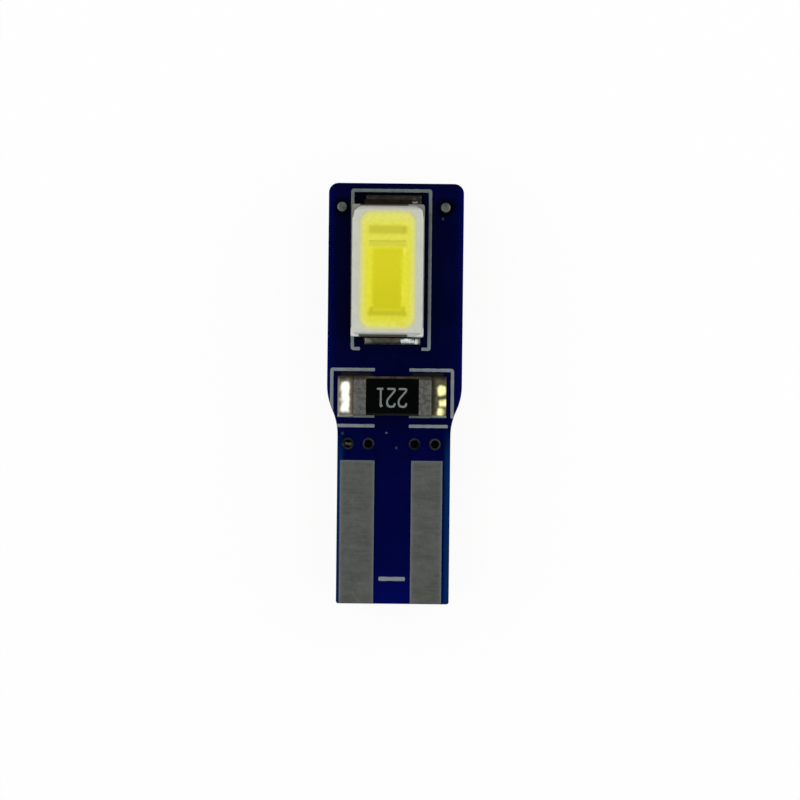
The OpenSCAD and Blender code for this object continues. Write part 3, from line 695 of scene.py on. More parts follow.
def joint_finish(name, wall, dull, bright, flux, highlights):
    """Solder of a resistor's joint, in coordinates off the cap's wall and along it: painted highlights
    on dull solder, painted shade next to the cap in the given flux colour, dark brown painted shade at
    the upper end, and a pale lower edge."""
    along = middle("front_resistor_left_cap")[1]

    def build(s, p):
        x, y, z = s.split(p)
        off = s.math("SUBTRACT", s.math("ABSOLUTE", s.math("SUBTRACT", x, ART_X)), wall)
        spot = s.add("CombineXYZ", {0: off, 1: s.math("SUBTRACT", y, along), 2: 0.0}).outputs[0]
        moved = s.warp(spot, 3.2, 0.16)
        clouds = s.group("Mottling", Vector=p, Scale=2.4, Spread=0.2)[0]
        colour = s.mix(clouds, dull, s.mix(0.06, dull, bright))
        # Painted highlights.
        for centre, half in highlights:
            colour = s.lay(colour, s.zone(moved, centre, half, 0.16, 0.08), 1.0, bright)
        # Painted shade next to the cap, in the given flux colour.
        colour = s.lay(colour, s.zone(moved, (0.05, 0.0), (0.12, 0.75), 0.14), 0.9, flux)
        # Painted shade at the upper end, dark brown.
        colour = s.lay(colour, s.zone(moved, (0.2, 0.83), (1.2, 0.15), 0.2), 0.85, look().dark_brown_shade)
        colour = s.lay(colour, s.zone(spot, (0.1, -0.86), (1.2, 0.06), 0.05, 0.02), 0.7, tone(140, 150, 150))
        return {"Base Color": colour, "Roughness": s.span(clouds, 0, 1, 0.4, 0.28),
                "Height": s.noise(p, 2.6, 2.0, 0.5), "Depth": 0.015}
    return new_finish(name, build, Metallic=0.6, Specular_IOR_Level=0.2)


def pale_solder_finish(name):
    """Solder of the resistor's left joints, with one long highlight."""
    wall = -float(seen("front_resistor_left_cap")[0][0])
    return joint_finish(name, wall, look().solder_pale, tone(250, 247, 236), look().brown_flux_and_shade,
                        [((0.33, -0.06), (0.19, 0.62))])


def amber_solder_finish(name):
    """Solder of the resistor's right joints, under yellow flux, with three highlights."""
    wall = float(seen("front_resistor_right_cap")[1][0])
    # Painted highlights in yellow, and dark brown painted shade next to the cap.
    return joint_finish(name, wall, look().flux_olive, look().yellow_flux_highlight, look().dark_brown_shade, [
        ((0.42, 0.23), (0.15, 0.2)), ((0.48, -0.28), (0.15, 0.12)), ((0.38, -0.64), (0.12, 0.15))])


def led_mapping(face):
    """Scale and shift from the frame to the middle of a face's LED, with z from its rim down."""
    x, y, _ = middle(f"{face}_led_housing")
    rim = seen(f"{face}_led_housing")[1][2]
    if face == "front":
        return (1, 1, 1), (-ART_X - x, -y, -BOARD_HIGH[2] - rim)
    return (1, -1, -1), (-ART_X + x, y, BOARD_LOW[2] - rim)


def housing_finish(name):
    """White moulded plastic, slightly grey, with grime in clouds and a fine moulded grain, and a painted
    yellow glow round the window. Below the rim it is greyer, painted shade, as is the rim's upper end;
    it is dark behind the upper lead, brown-grey behind the lower one, both painted shade, and bright at
    the lower corners, a painted highlight."""
    def build(s, p):
        x, y, z = s.split(p)
        clouds = s.group("Mottling", Vector=p, Scale=1.6, Spread=0.2)[0]
        colour = s.mix(s.math("MULTIPLY", clouds, 0.5), look().housing, look().housing_grey)
        specks = s.group("Specks", Vector=p, Scale=2.2, Share=0.08)[0]
        colour = s.lay(colour, specks, 0.4, tone(90, 88, 78))
        window = s.zone(p, (0, 0), (WINDOW[0] / 2, WINDOW[1] / 2), 0.01, WINDOW[2])
        # Painted glow of the phosphor on the plastic round the window.
        glow = s.zone(p, (0, 0), (WINDOW[0] / 2 + 0.03, WINDOW[1] / 2 + 0.03), 0.2, WINDOW[2])
        colour = s.lay(colour, glow, 0.5, look().phosphor_rim)
        # Painted shade at the rim's upper end.
        colour = s.lay(colour, s.span(y, 2.42, 2.58), 0.55, look().housing_side_shade)
        from_end = s.math("SUBTRACT", LED_SIZE[1] / 2, s.math("ABSOLUTE", y))
        at_end = s.span(from_end, 0.42, 0.3)
        lower = s.span(y, 0.1, -0.1)
        # Painted shade on the walls below the rim, with a painted highlight at the lower corners.
        wall = s.mix(s.math("MULTIPLY", at_end, lower), look().housing_side_shade, tone(232, 236, 238))
        wall = s.lay(wall, clouds, 0.3, look().housing_shade)
        # Painted shade behind the leads: dark at the upper end, brown-grey at the lower.
        lead = s.zone(p, (-0.16, 0), (0.99, 9), 0.06, 0.01)
        behind = s.mix(lower, look().housing_shade, tone(80, 74, 70))
        wall = s.lay(wall, s.math("MULTIPLY", lead, at_end), 1.0, behind)
        below = s.math("MULTIPLY", s.span(z, -0.04, -0.2), s.math("SUBTRACT", 1.0, window))
        colour = s.lay(colour, below, 0.95, wall)
        return {"Base Color": colour, "Roughness": s.span(clouds, 0, 1, 0.5, 0.62),
                "Height": s.noise(p, 22.0, 2.0), "Depth": 0.002}
    scale, shift = led_mapping(name.split("_")[0])
    return new_finish(name, build, scale=scale, shift=shift, Specular_IOR_Level=0.2)


def lead_finish(name):
    """Lead frame of plated copper, brown-black where it leaves the housing: tarnish, with painted shade
    of the housing over it.
    """
    def build(s, p):
        clouds = s.group("Mottling", Vector=p, Scale=4.0, Spread=0.2)[0]
        colour = s.mix(clouds, look().lead_dark, look().lead_light)
        return {"Base Color": colour, "Roughness": s.span(clouds, 0, 1, 0.5, 0.35),
                "Height": s.noise(p, 15.0), "Depth": 0.002}
    return new_finish(name, build, Metallic=0.5, Specular_IOR_Level=0.1)


def phosphor_build(s, p):
    """Yellow phosphor in silicone. The lead frame below it shows as soft zones: a pale border, a
    darker band at the notched end, the slot between the leads, bright ridges beside the deeper cup,
    which are painted reflections of the cup's sloped walls, and a dark line at the cup's far wall."""
    moved = s.warp(p, 4.0, 0.09)

    def lay(colour, cx, cy, hx, hy, soft, amount, over):
        return s.lay(colour, s.zone(moved, (cx, cy), (hx, hy), soft, 0.09), amount, over)

    y = s.split(p)[1]
    rim = s.zone(p, (0, 0), (1.07, 2.34), 0.26, WINDOW[2] - 0.08)
    colour = s.mix(rim, look().phosphor_rim, look().phosphor_border)
    inner = s.zone(p, (0, -0.1), (0.93, 2.06), 0.4, 0.4)
    colour = s.mix(inner, colour, look().phosphor)
    colour = lay(colour, 0, 1.36, 0.86, 0.6, 0.2, 0.6, look().phosphor_pale)
    colour = lay(colour, 0, 1.64, 0.79, 0.17, 0.2, 0.9, look().phosphor_band)
    colour = lay(colour, 0.66, 1.64, 0.05, 0.14, 0.08, 0.5, look().phosphor_line)
    colour = lay(colour, 0, 1.06, 0.78, 0.14, 0.16, 0.5, look().phosphor_band)
    colour = lay(colour, 0, 1.18, 0.8, 0.02, 0.05, 0.7, look().phosphor_line)
    # Painted reflection of the cup's sloped walls.
    colour = lay(colour, 0, -0.38, 0.8, 1.32, 0.22, 0.9, look().phosphor_ridge)
    cup = s.mix(s.span(y, 0.5, -1.6), look().phosphor_cup, look().phosphor_deep)
    colour = lay(colour, -0.02, -0.37, 0.6, 1.27, 0.26, 1.0, cup)
    # Painted reflection: brighter bits of the right ridge.
    colour = lay(colour, 0.68, 0.8, 0.05, 0.18, 0.07, 0.7, tone(244, 238, 84))
    colour = lay(colour, 0.62, -1.0, 0.03, 0.5, 0.07, 0.6, tone(240, 234, 60))
    colour = lay(colour, 0, -1.76, 0.78, 0.1, 0.18, 0.8, look().phosphor_line)
    colour = lay(colour, -0.66, -1.6, 0.1, 0.12, 0.1, 0.6, look().phosphor_line)
    colour = lay(colour, 0.66, -1.6, 0.1, 0.12, 0.1, 0.6, look().phosphor_line)
    colour = lay(colour, 0.6, -2.2, 0.22, 0.08, 0.24, 0.35, tone(216, 184, 50))
    colour = lay(colour, -0.03, -2.42, 0.03, 0.03, 0.05, 0.6, tone(120, 112, 60))
    grain = s.noise(p, 6.0, 4.0, 0.65)
    colour = s.mix(s.span(grain, 0.38, 0.75, 0.0, 0.3), colour, look().phosphor_deep)
    return {"Base Color": colour, "Roughness": s.span(grain, 0.3, 0.7, 0.34, 0.46),
            "Height": s.noise(p, 6.0, 2.0), "Depth": 0.003}


def phosphor_finish(name):
    """The phosphor's zones follow its own LED, which is turned end for end on the back."""
    scale, shift = led_mapping(name.split("_")[0])
    return new_finish(name, phosphor_build, scale=scale, shift=shift, Specular_IOR_Level=0.3)


def chip_finish(name):
    """Blue crystal of the chip, with its fine metal fingers."""
    def build(s, p):
        lines = s.math("SINE", s.math("MULTIPLY", s.split(p)[1], 2 * math.pi / 0.12))
        colour = s.mix(s.span(lines, 0.8, 0.95), tone(70, 98, 140), tone(220, 205, 150))
        return {"Base Color": colour, "Roughness": s.span(s.noise(p, 20.0), 0.3, 0.7, 0.15, 0.3)}
    return new_finish(name, build, Coat_Weight=0.5)


def gold_finish(name):
    """Drawn gold wire with faint drawing marks."""
    def build(s, p):
        marks = s.noise(s.vector("MULTIPLY", p, (40.0, 4.0, 40.0)), 1.0)
        colour = s.mix(marks, tone(214, 164, 70), tone(250, 214, 130))
        return {"Base Color": colour, "Roughness": s.span(marks, 0.3, 0.7, 0.2, 0.35)}
    return new_finish(name, build, Metallic=1.0)


def ceramic_finish(name):
    """Resistor's ceramic, stained brown by flux and nearly black along its lower side."""
    middle_y = middle("front_resistor_body")[1]

    def build(s, p):
        stain = s.group("Mottling", Vector=p, Scale=2.5, Spread=0.2)[0]
        grain = s.noise(p, 24.0, 2.0)
        colour = s.mix(stain, look().ceramic_stain, look().ceramic)
        lower = s.span(s.math("SUBTRACT", s.split(p)[1], middle_y), 0.3, -0.3)
        colour = s.lay(colour, lower, 0.95, tone(8, 10, 18))
        return {"Base Color": colour, "Roughness": s.span(grain, 0.3, 0.7, 0.6, 0.8),
                "Height": grain, "Depth": 0.004}
    return new_finish(name, build, Specular_IOR_Level=0.1)


def film_finish(name):
    """Resistive film, dark and grainy, with a lighter bloom."""
    def build(s, p):
        grain = s.noise(p, 18.0, 3.0)
        return {"Base Color": s.mix(grain, tone(44, 36, 30), tone(96, 84, 74)),
                "Roughness": s.span(grain, 0.3, 0.7, 0.5, 0.7)}
    return new_finish(name, build)


def coat_finish(name):
    """Black glass coat of the resistor, nearly even, with a soft unevenness."""
    def build(s, p):
        clouds = s.group("Mottling", Vector=p, Scale=2.0, Spread=0.25)[0]
        specks = s.group("Specks", Vector=p, Scale=6.0, Share=0.06)[0]
        colour = s.mix(clouds, look().coat, tone(5, 7, 6))
        colour = s.lay(colour, specks, 0.15, tone(60, 62, 60))
        return {"Base Color": colour, "Roughness": s.span(clouds, 0, 1, 0.35, 0.5),
                "Height": s.noise(p, 9.0), "Depth": 0.003}
    return new_finish(name, build, Specular_IOR_Level=0.01)


def cap_finish(name):
    """Tinned cap: grey, frosted in small grains, darker where it is stained, and dark brown at its upper end,
    painted shade.
    """
    middle_y = middle("front_resistor_left_cap")[1]

    def build(s, p):
        grains = s.group("Mottling", Vector=p, Scale=6.0, Spread=0.14)[0]
        stain = s.group("Mottling", Vector=s.vector("ADD", p, (5.0, 1.0, 0.0)), Scale=2.4, Spread=0.14)[0]
        colour = s.mix(grains, look().cap_dark, look().cap_light)
        colour = s.lay(colour, stain, 0.15, look().brown_flux_and_shade)
        # Painted shade at the cap's upper end.
        upper = s.span(s.math("SUBTRACT", s.split(p)[1], middle_y), 0.6, 0.72)
        colour = s.lay(colour, upper, 0.8, look().dark_brown_shade)
        return {"Base Color": colour, "Roughness": s.span(grains, 0, 1, 0.6, 0.42),
                "Height": grains, "Depth": 0.008}
    return new_finish(name, build, Metallic=0.85)


def digits_finish(name):
    """Pale ink of the value code, thin and grainy."""
    def build(s, p):
        grain = s.noise(p, 22.0, 2.0)
        return {"Base Color": s.mix(grain, tone(96, 102, 102), look().digits),
                "Roughness": s.span(grain, 0.3, 0.7, 0.5, 0.7), "Height": grain, "Depth": 0.002}
    return new_finish(name, build, Specular_IOR_Level=0.06)


FINISHES = {
    "laminate": laminate_finish, "solder_mask": mask_finish, "legend_ink": ink_finish,
    "tin": tin_finish, "via_tin": via_tin_finish, "plug_ink": shade_plug_finish, "copper": copper_finish,
    "solder": solder_finish, "front_led_solder": led_solder_finish, "back_led_solder": led_solder_finish,
    "pale_solder": pale_solder_finish, "amber_solder": amber_solder_finish,
    "front_plastic": housing_finish, "back_plastic": housing_finish, "lead_metal": lead_finish,
    "front_phosphor": phosphor_finish, "back_phosphor": phosphor_finish, "chip": chip_finish,
    "gold": gold_finish, "ceramic": ceramic_finish, "film": film_finish,
    "black_coat": coat_finish, "cap_metal": cap_finish, "digit_ink": digits_finish,
}


def finish_named(name):
    """The finish of that name, made when it is first asked for."""
    return bpy.data.materials.get(f"{name}_finish") or FINISHES[name](f"{name}_finish")


# What a user may change

def colour(label, what, r, g, b):
    return FloatVectorProperty(name=label, description=what, default=tone(r, g, b), size=4,
                               subtype="COLOR", min=0, max=1)


def length(label, what, default):
    return FloatProperty(name=label, description=what, default=default * MM, min=0,
                         subtype="DISTANCE", unit="LENGTH", precision=6)


def share(label, what, default):
    return FloatProperty(name=label, description=what, default=default, min=0, max=1,
                         subtype="FACTOR")


class BulbLook(bpy.types.PropertyGroup):
    """Sizes and colours of the bulb's finishes."""
    laminate_light: colour("Laminate", "Pale layers of the routed edge", 190, 188, 142)
    laminate_dark: colour("Laminate layers", "Dark layers of the routed edge", 112, 116, 72)
    mask_dark: colour("Mask of the head", "Solder mask of the head", 0, 2, 38)
    # Painted reflection: bluer mask towards the tip and along the head's edges.
    mask_blue_sheen: colour("Mask sheen", "Painted reflection on the mask, towards the tip and along the head's edges", 1, 6, 78)
    # Painted shade round the LED.
    mask_shade: colour("Mask at the LED", "Solder mask round the LED", 0, 2, 22)
    # Painted shade above the LED; the same colour round the filled vias.
    mask_black: colour("Nearly black mask", "Painted shade above the LED, and the mask round the filled vias", 0, 1, 8)
    # Painted light along the blade's edges.
    mask_edge_light: colour("Mask at the edges", "Solder mask at the edges of the blade", 3, 38, 84)
    legend: colour("Legend", "Printed lines", 130, 138, 143)
    legend_dim: colour("Dim legend", "Printed lines towards the LED", 88, 94, 88)
    legend_height: length("Legend thickness", "Thickness of the printed ink", 0.02)
    legend_uneven: share("Legend unevenness", "How much a printed line's width varies", 0.05)
    tin_dark: colour("Tin", "Dark clouds of the contacts", 78, 80, 76)
    tin_light: colour("Light tin", "Light clouds of the contacts", 98, 100, 96)
    # Scratches, and the painted highlight along the contacts' edges.
    tin_scratch_and_edge_highlight: colour("Tin scratches and edge highlight", "Scratches, and a painted highlight along the contacts' edges", 108, 124, 130)
    tin_crown: length("Tin crown", "How far the middle of a contact stands over its edges", 0.02)
    solder_dull: colour("Dull solder", "Dull clouds of the filled vias", 66, 69, 64)
    solder_light: colour("Light solder", "Light clouds of the filled vias", 106, 109, 103)
    solder_lumps: length("Solder lumps", "Height of the unevenness of set solder", 0.02)
    # Flux stains on the caps; painted shade on the left joints next to them.
    brown_flux_and_shade: colour("Brown flux and shade", "Flux stains on the caps, and painted shade on the left joints next to the caps", 92, 78, 58)
    # Painted glint.
    painted_via_glint: colour("Glint", "Painted glint in the outer left via", 144, 134, 112)
    # Painted shade, dark brown, on the resistors' upper side and next to their right caps.
    dark_brown_shade: colour("Dark brown shade", "Painted shade on the resistors' upper side and next to their right caps", 34, 29, 22)
    solder_pale: colour("Pale solder", "Solder of the left joints", 108, 101, 86)
    # Painted highlights of the right joints, yellow.
    yellow_flux_highlight: colour("Yellow highlight", "Highlights of the right joints", 255, 250, 178)
    flux_olive: colour("Olive flux", "Flux over the right joints", 62, 58, 42)
    housing: colour("Housing", "White plastic of the LED", 200, 203, 190)
    housing_grey: colour("Grimy housing", "Greyer clouds of the plastic", 178, 180, 168)
    # Painted shade below the rim and at its upper end.
    housing_side_shade: colour("Housing sides", "Plastic below the rim", 140, 139, 131)
    housing_shade: colour("Housing shade", "Plastic behind the upper lead", 30, 24, 20)
    housing_edge: length("Housing edge radius", "Radius of the housing's top edges", 0.07)
    phosphor: colour("Phosphor", "Ring round the lead frame's shapes", 223, 220, 54)
    # Also the painted glow on the plastic round the window.
    phosphor_rim: colour("Phosphor rim", "Thinnest phosphor, where it meets the plastic", 204, 204, 158)
    phosphor_border: colour("Phosphor border", "Border along the window", 227, 226, 106)
    phosphor_pale: colour("Pale phosphor", "Over the cathode's plate", 231, 228, 92)
    phosphor_band: colour("Phosphor band", "Dark band at the notched end", 196, 192, 50)
    # Painted reflection of the cup's walls.
    phosphor_ridge: colour("Phosphor ridge", "Over the edges of the cup", 232, 228, 46)
    phosphor_cup: colour("Phosphor in the cup", "Over the chip", 215, 209, 14)
    phosphor_deep: colour("Deep phosphor", "At the lower end of the cup", 206, 200, 0)
    phosphor_line: colour("Phosphor lines", "Over the slot and the cup's far wall", 187, 180, 14)
    meniscus: length("Meniscus", "How far the phosphor dips from its border to its middle", 0.022)
    # Tarnish, darkened as painted shade where the lead leaves the housing.
    lead_dark: colour("Lead", "Tarnished lead frame, darkened by painted shade", 12, 8, 6)
    lead_light: colour("Light lead", "Plating that is left on the lead frame", 42, 33, 27)
    ceramic: colour("Ceramic", "Resistor's ceramic", 72, 65, 52)
    ceramic_stain: colour("Stained ceramic", "Ceramic below flux", 40, 33, 24)
    coat: colour("Coat", "Resistor's black coat", 2, 4, 3)
    cap_dark: colour("Cap", "Dark grains of the caps", 76, 77, 75)
    cap_light: colour("Light cap", "Light grains of the caps", 106, 108, 104)
    cap_edge: length("Cap edge radius", "Radius of the caps' edges", 0.05)
    digits: colour("Digits", "Ink of the value code", 128, 135, 135)
    digit_height: length("Digit height", "Height of the value code's digits", 0.82)
    digit_stroke: length("Digit stroke", "Width of the value code's strokes", 0.085)


class StageLook(bpy.types.PropertyGroup):
    """Camera, floor and light."""
    distance: length("Camera distance", "From the board's face to the camera", 100.0)
    tilt: FloatProperty(name="Camera tilt", description="How far the camera leans to the LED end",
                        default=math.radians(1), subtype="ANGLE", unit="ROTATION")
    roll: FloatProperty(name="Camera roll", description="Turn of the camera about its own axis",
                        default=math.radians(-0.613), subtype="ANGLE", unit="ROTATION")
    lens: FloatProperty(name="Lens", description="Focal length for a 36 mm sensor", default=109.35,
                        unit="CAMERA")
    aim_x: length("Aim across", "Where the camera looks, across the board", 0.233)
    aim_y: FloatProperty(name="Aim along", description="Where the camera looks, along the board",
                         default=-0.247 * MM, subtype="DISTANCE", unit="LENGTH", precision=6)
    shadow: share("Shadow", "How much of the floor's shading the camera sees", 0.09)
    zenith: share("Zenith", "Brightness of the room right above", 0.3)
    lamp: FloatProperty(name="Lamp brightness", description="Brightness of the two soft lamps",
                        default=1.2, min=0)


# Pieces

class WEDGEBULB_OT_board(bpy.types.Operator):
    """Finish the laminate, the solder mask, the copper and the barrels, which keep their CAD shape"""
    bl_idname = "wedgebulb.board"
    bl_label = "Board"
    bl_options = {"REGISTER", "UNDO"}

    def execute(self, context):
        dress(["laminate"], "laminate")
        dress([f"{face}_solder_mask" for face in FACES], "solder_mask")
        tracks = ("supply", "series", "link", "return")
        dress([f"{face}_{net}_track" for face in FACES for net in tracks], "copper")
        dress(["left_via_barrels", "right_via_barrels", "link_via_barrels"], "copper")
        return {"FINISHED"}


def legend_paths(face):
    """Width and corners of the printed lines: a frame with hooks round the LED, a broken frame
    round the resistor, and the minus mark of the front."""
    housing_low, housing_high = seen("front_led_housing")
    reach = (housing_high[0] - housing_low[0]) / 2 + 0.075
    top = seen("front_led_upper_solder")[1][1] + 0.18
    low = seen("front_led_lower_solder")[0][1] - 0.18
    dx, hook = -0.075, 0.32
    fine, bold = 0.135, 0.165
    left, right = dx - reach, dx + reach
    paths = [(fine, [(left + hook, low), (left, low), (left - 0.045, top), (right, top),
                     (right, low), (right - hook, low)])]
    land_low, land_high = seen("front_resistor_right_solder")
    side = land_high[0] + 0.23
    top, low = land_high[1] + 0.25, land_low[1] - 0.34
    for sign in (-1, 1):
        paths.append((fine, [(sign * 0.7, top), (sign * side, top), (sign * side, low + 0.33)]))
        paths.append((fine, [(sign * 0.7, low), (sign * (side - 0.165), low)]))
    if face == "front":
        paths.append((bold, [(-0.485, BOARD_LOW[1] + 1.03), (0.615, BOARD_LOW[1] + 1.03)]))
    return paths


class WEDGEBULB_OT_legend(bpy.types.Operator):
    """Print the legend on both faces as ink lines that follow the mask's relief"""
    bl_idname = "wedgebulb.legend"
    bl_label = "Legend"
    bl_options = {"REGISTER", "UNDO"}

    def execute(self, context):
        thick, uneven = look().legend_height / MM, look().legend_uneven
        for face in FACES:
            shift = ART_X if face == "front" else -ART_X

            def limit(y, shift=shift):
                edge = half_outline(y) - 0.012
                return -edge - shift, edge - shift

            lines = [on_face(ribbon(soft_path(corners, 0.05), width, thick, mask_height, 20 + i,
                                    uneven, limit), face)
                     for i, (width, corners) in enumerate(legend_paths(face))]
            add_piece(f"{face}_printed_legend", lines, "legend_ink",
                      [f"{face}_legend"])
        return {"FINISHED"}


class WEDGEBULB_OT_contacts(bpy.types.Operator):
    """Tin the four contacts: low crowned pads, thicker in the middle, with a slightly uneven skin"""
    bl_idname = "wedgebulb.contacts"
    bl_label = "Tinned contacts"
    bl_options = {"REGISTER", "UNDO"}

    def execute(self, context):
        """Height: the node's own at the edges, and a crown that rises with the eighth power of the
        distance from the middle taken from 1, with slow waves on it."""
        crown = look().tin_crown / MM
        for face in FACES:
            for side in SIDES:
                node = f"{face}_{side}_contact"
                low, high = seen(node)
                size, centre = high - low, (high + low) / 2
                x, y = grid(size[0], size[1], 0.04, 61, 161)
                u, v = x / size[0] * 2, y / size[1] * 2
                swell = (1 - np.abs(u) ** 8) * (1 - np.abs(v) ** 30)
                slow = 0.003 * (wave(x + 0.4 * y, 3, 1.6) + wave(y, 4, 2.2))
                top = high[2] - 0.004 + swell * (crown + slow)
                upper = np.stack((x + centre[0], y + centre[1], top), -1)
                lower = np.stack((x + centre[0], y + centre[1], np.full_like(x, low[2])), -1)
                # Painted highlight along the edges: a value that falls off away from them, for the tin's
                # finish.
                near = np.minimum(size[0] / 2 - np.abs(x), size[1] / 2 - y)
                edge_highlight = np.exp(-np.clip(near, 0, None) / 0.05)
                add_piece(f"{face}_{side}_tinned_pad", [on_face(slab(upper, lower), face)], "tin",
                          [node], edge_highlight=np.stack((edge_highlight, edge_highlight)))
        return {"FINISHED"}


class WEDGEBULB_OT_vias(bpy.types.Operator):
    """Tin the rims of the open vias, fill the two beside the LED with domed solder, and set the
    small bead of solder that lies on the front mask"""
    bl_idname = "wedgebulb.vias"
    bl_label = "Vias"
    bl_options = {"REGISTER", "UNDO"}

    def execute(self, context):
        sine, cosine = quarter(6)
        rim = [(HOLE_R - 0.012, -0.25), (VIA_OPEN_R - 0.02, COPPER_H - 0.004),
               (VIA_OPEN_R, COPPER_H)]
        mid, half = (HOLE_R + VIA_OPEN_R) / 2 - 0.004, (VIA_OPEN_R - HOLE_R) / 2 + 0.004
        angle = np.linspace(0, math.pi, 9)
        rim += [(mid + half * math.cos(a), COPPER_H + 0.03 * math.sin(a)) for a in angle]
        for face in FACES:
            flip = 1 if face == "front" else -1
            rings = [on_face(loft(revolve(rim, (flip * x, y)), joined=True), face)
                     for x, y in CONTACT_VIAS]
            add_piece(f"{face}_via_tin_rims", rings, "via_tin")
            # Nearly black plugs in the open vias: painted shade standing in for the dark holes.
            plug = [(0.01, -0.3), (HOLE_R - 0.001, -0.28), (HOLE_R - 0.001, -0.12),
                    (HOLE_R * 0.8, -0.16), (HOLE_R * 0.4, -0.19), (0.01, -0.2)]
            plugs = [on_face(loft(revolve(plug, (flip * x, y))), face) for x, y in CONTACT_VIAS]
            add_piece(f"{face}_via_shade_plugs", plugs, "plug_ink")
        cap_r, cap_h = 0.21, 0.05
        fills = []
        depth = BOARD_HIGH[2] - BOARD_LOW[2]
        for x, y in LINK_VIAS:
            dome = [(cap_r * c, COPPER_H + cap_h * s) for s, c in zip(sine, cosine)][:-1]
            dome += [(0.01, COPPER_H + cap_h)]
            under = [(r, -depth - h) for r, h in reversed(dome)]
            pin = [(HOLE_R, -depth - COPPER_H), (HOLE_R, COPPER_H)]
            fills.append(on_face(loft(revolve(under + pin + dome, (x, y))), "front"))
        add_piece("link_via_solder_fill", fills, "solder", ["link_via_solder"])
        dome = [(0.055 * c, MASK_H - 0.01 + 0.05 * s) for s, c in zip(sine, cosine)]
        bead = loft(revolve(dome[:-1] + [(0.004, dome[-1][1])], (-0.21, -1.6), 20))
        add_piece("front_solder_bead", [on_face(bead, "front")], "tin")
        return {"FINISHED"}


def led_to_face(points, face):
    """From the LED's own middle and seat to its face. The back LED is turned end for end."""
    flip = 1 if face == "front" else -1
    x, y, _ = middle(f"{face}_led_housing")
    return points * (flip, flip, 1) + (x, y, SEAT)


def led_surface(surface, face):
    points, quads, triangles = surface
    return place(led_to_face(points, face), face), quads, triangles


LED_SIZE = np.subtract(*seen("front_led_housing")[::-1])
WINDOW = (LED_SIZE[0] - 0.7, LED_SIZE[1] - 0.6, 0.5)
REFLECTOR_RUN = 0.2
PLATE_H = 0.35
DRAFT = 0.05
LEAD_T = 0.15
NOTCH_DEPTH = 0.35
CORNER_CUTS = {(-1, 1): 0.46, (1, 1): 0.4, (-1, -1): 0.28, (1, -1): 0.28}
END_LEAN = 0.1


class WEDGEBULB_OT_housings(bpy.types.Operator):
    """Mould the two LED housings: drafted walls, round edges, a soft lip round the window, the
    sloped reflector, the cut corner that marks the cathode and three small cuts"""
    bl_idname = "wedgebulb.housings"
    bl_label = "LED housings"
    bl_options = {"REGISTER", "UNDO"}

    def execute(self, context):
        """Rings of rounded rectangles climb the wall, turn over the rim and go down the reflector.
        The ends lean in above the floor of the corner cuts.
        Where a point lies beyond a corner's slanting cut and above its floor, it is moved back to
        the cut, straight across it."""
        w, l, h = LED_SIZE
        edge, lip = look().housing_edge / MM, 0.015
        sine, cosine = quarter(6)
        floor = h - NOTCH_DEPTH
        heights = np.r_[0.02, floor - 0.1, floor - 0.004, floor + 0.004,
                        np.linspace(floor + 0.1, h - edge - 0.03, 3)]
        levels = [(w - 0.06, l - 0.06, 0.06, 0.0)]
        lean = END_LEAN * np.clip((heights - floor) / (h - floor), 0, 1)
        levels += [(w - 2 * DRAFT * z / h, l - 2 * DRAFT * z / h - 2 * t, 0.08, z)
                   for z, t in zip(heights, lean)]
        tw, tl = w - 2 * DRAFT, l - 2 * DRAFT - 2 * END_LEAN
        levels += [(tw - 2 * edge * (1 - c), tl - 2 * edge * (1 - c), 0.1, h - edge * (1 - s))
                   for s, c in zip(sine, cosine)]
        levels += [(tw - 2 * edge + (WINDOW[0] + 2 * lip - tw + 2 * edge) * t,
                    tl - 2 * edge + (WINDOW[1] + 2 * lip - tl + 2 * edge) * t,
                    0.1 + (WINDOW[2] + lip - 0.1) * t, h) for t in (0.25, 0.5, 0.75)]
        levels += [(WINDOW[0] + 2 * lip * (1 - s), WINDOW[1] + 2 * lip * (1 - s),
                    WINDOW[2] + lip * (1 - s), h - lip * (1 - c)) for s, c in zip(sine, cosine)]
        levels += [(WINDOW[0] - 2 * REFLECTOR_RUN, WINDOW[1] - 2 * REFLECTOR_RUN, WINDOW[2],
                    PLATE_H - 0.01)]
        rings = stack(levels)
        above = rings[..., 2] > floor
        eased = 0.05 * np.clip((rings[..., 2] - h + 0.06) / 0.06, 0, 1) ** 2
        for (x_side, y_side), size in CORNER_CUTS.items():
            beyond = x_side * rings[..., 0] + y_side * rings[..., 1] - (w / 2 + l / 2 - size) + eased
            cut = np.where(above, np.maximum(beyond, 0), 0) / 2
            rings[..., 0] -= x_side * cut
            rings[..., 1] -= y_side * cut
        for face in FACES:
            add_piece(f"{face}_moulded_housing", [led_surface(loft(rings), face)],
                      f"{face}_plastic", [f"{face}_led_housing"], 50)
        return {"FINISHED"}


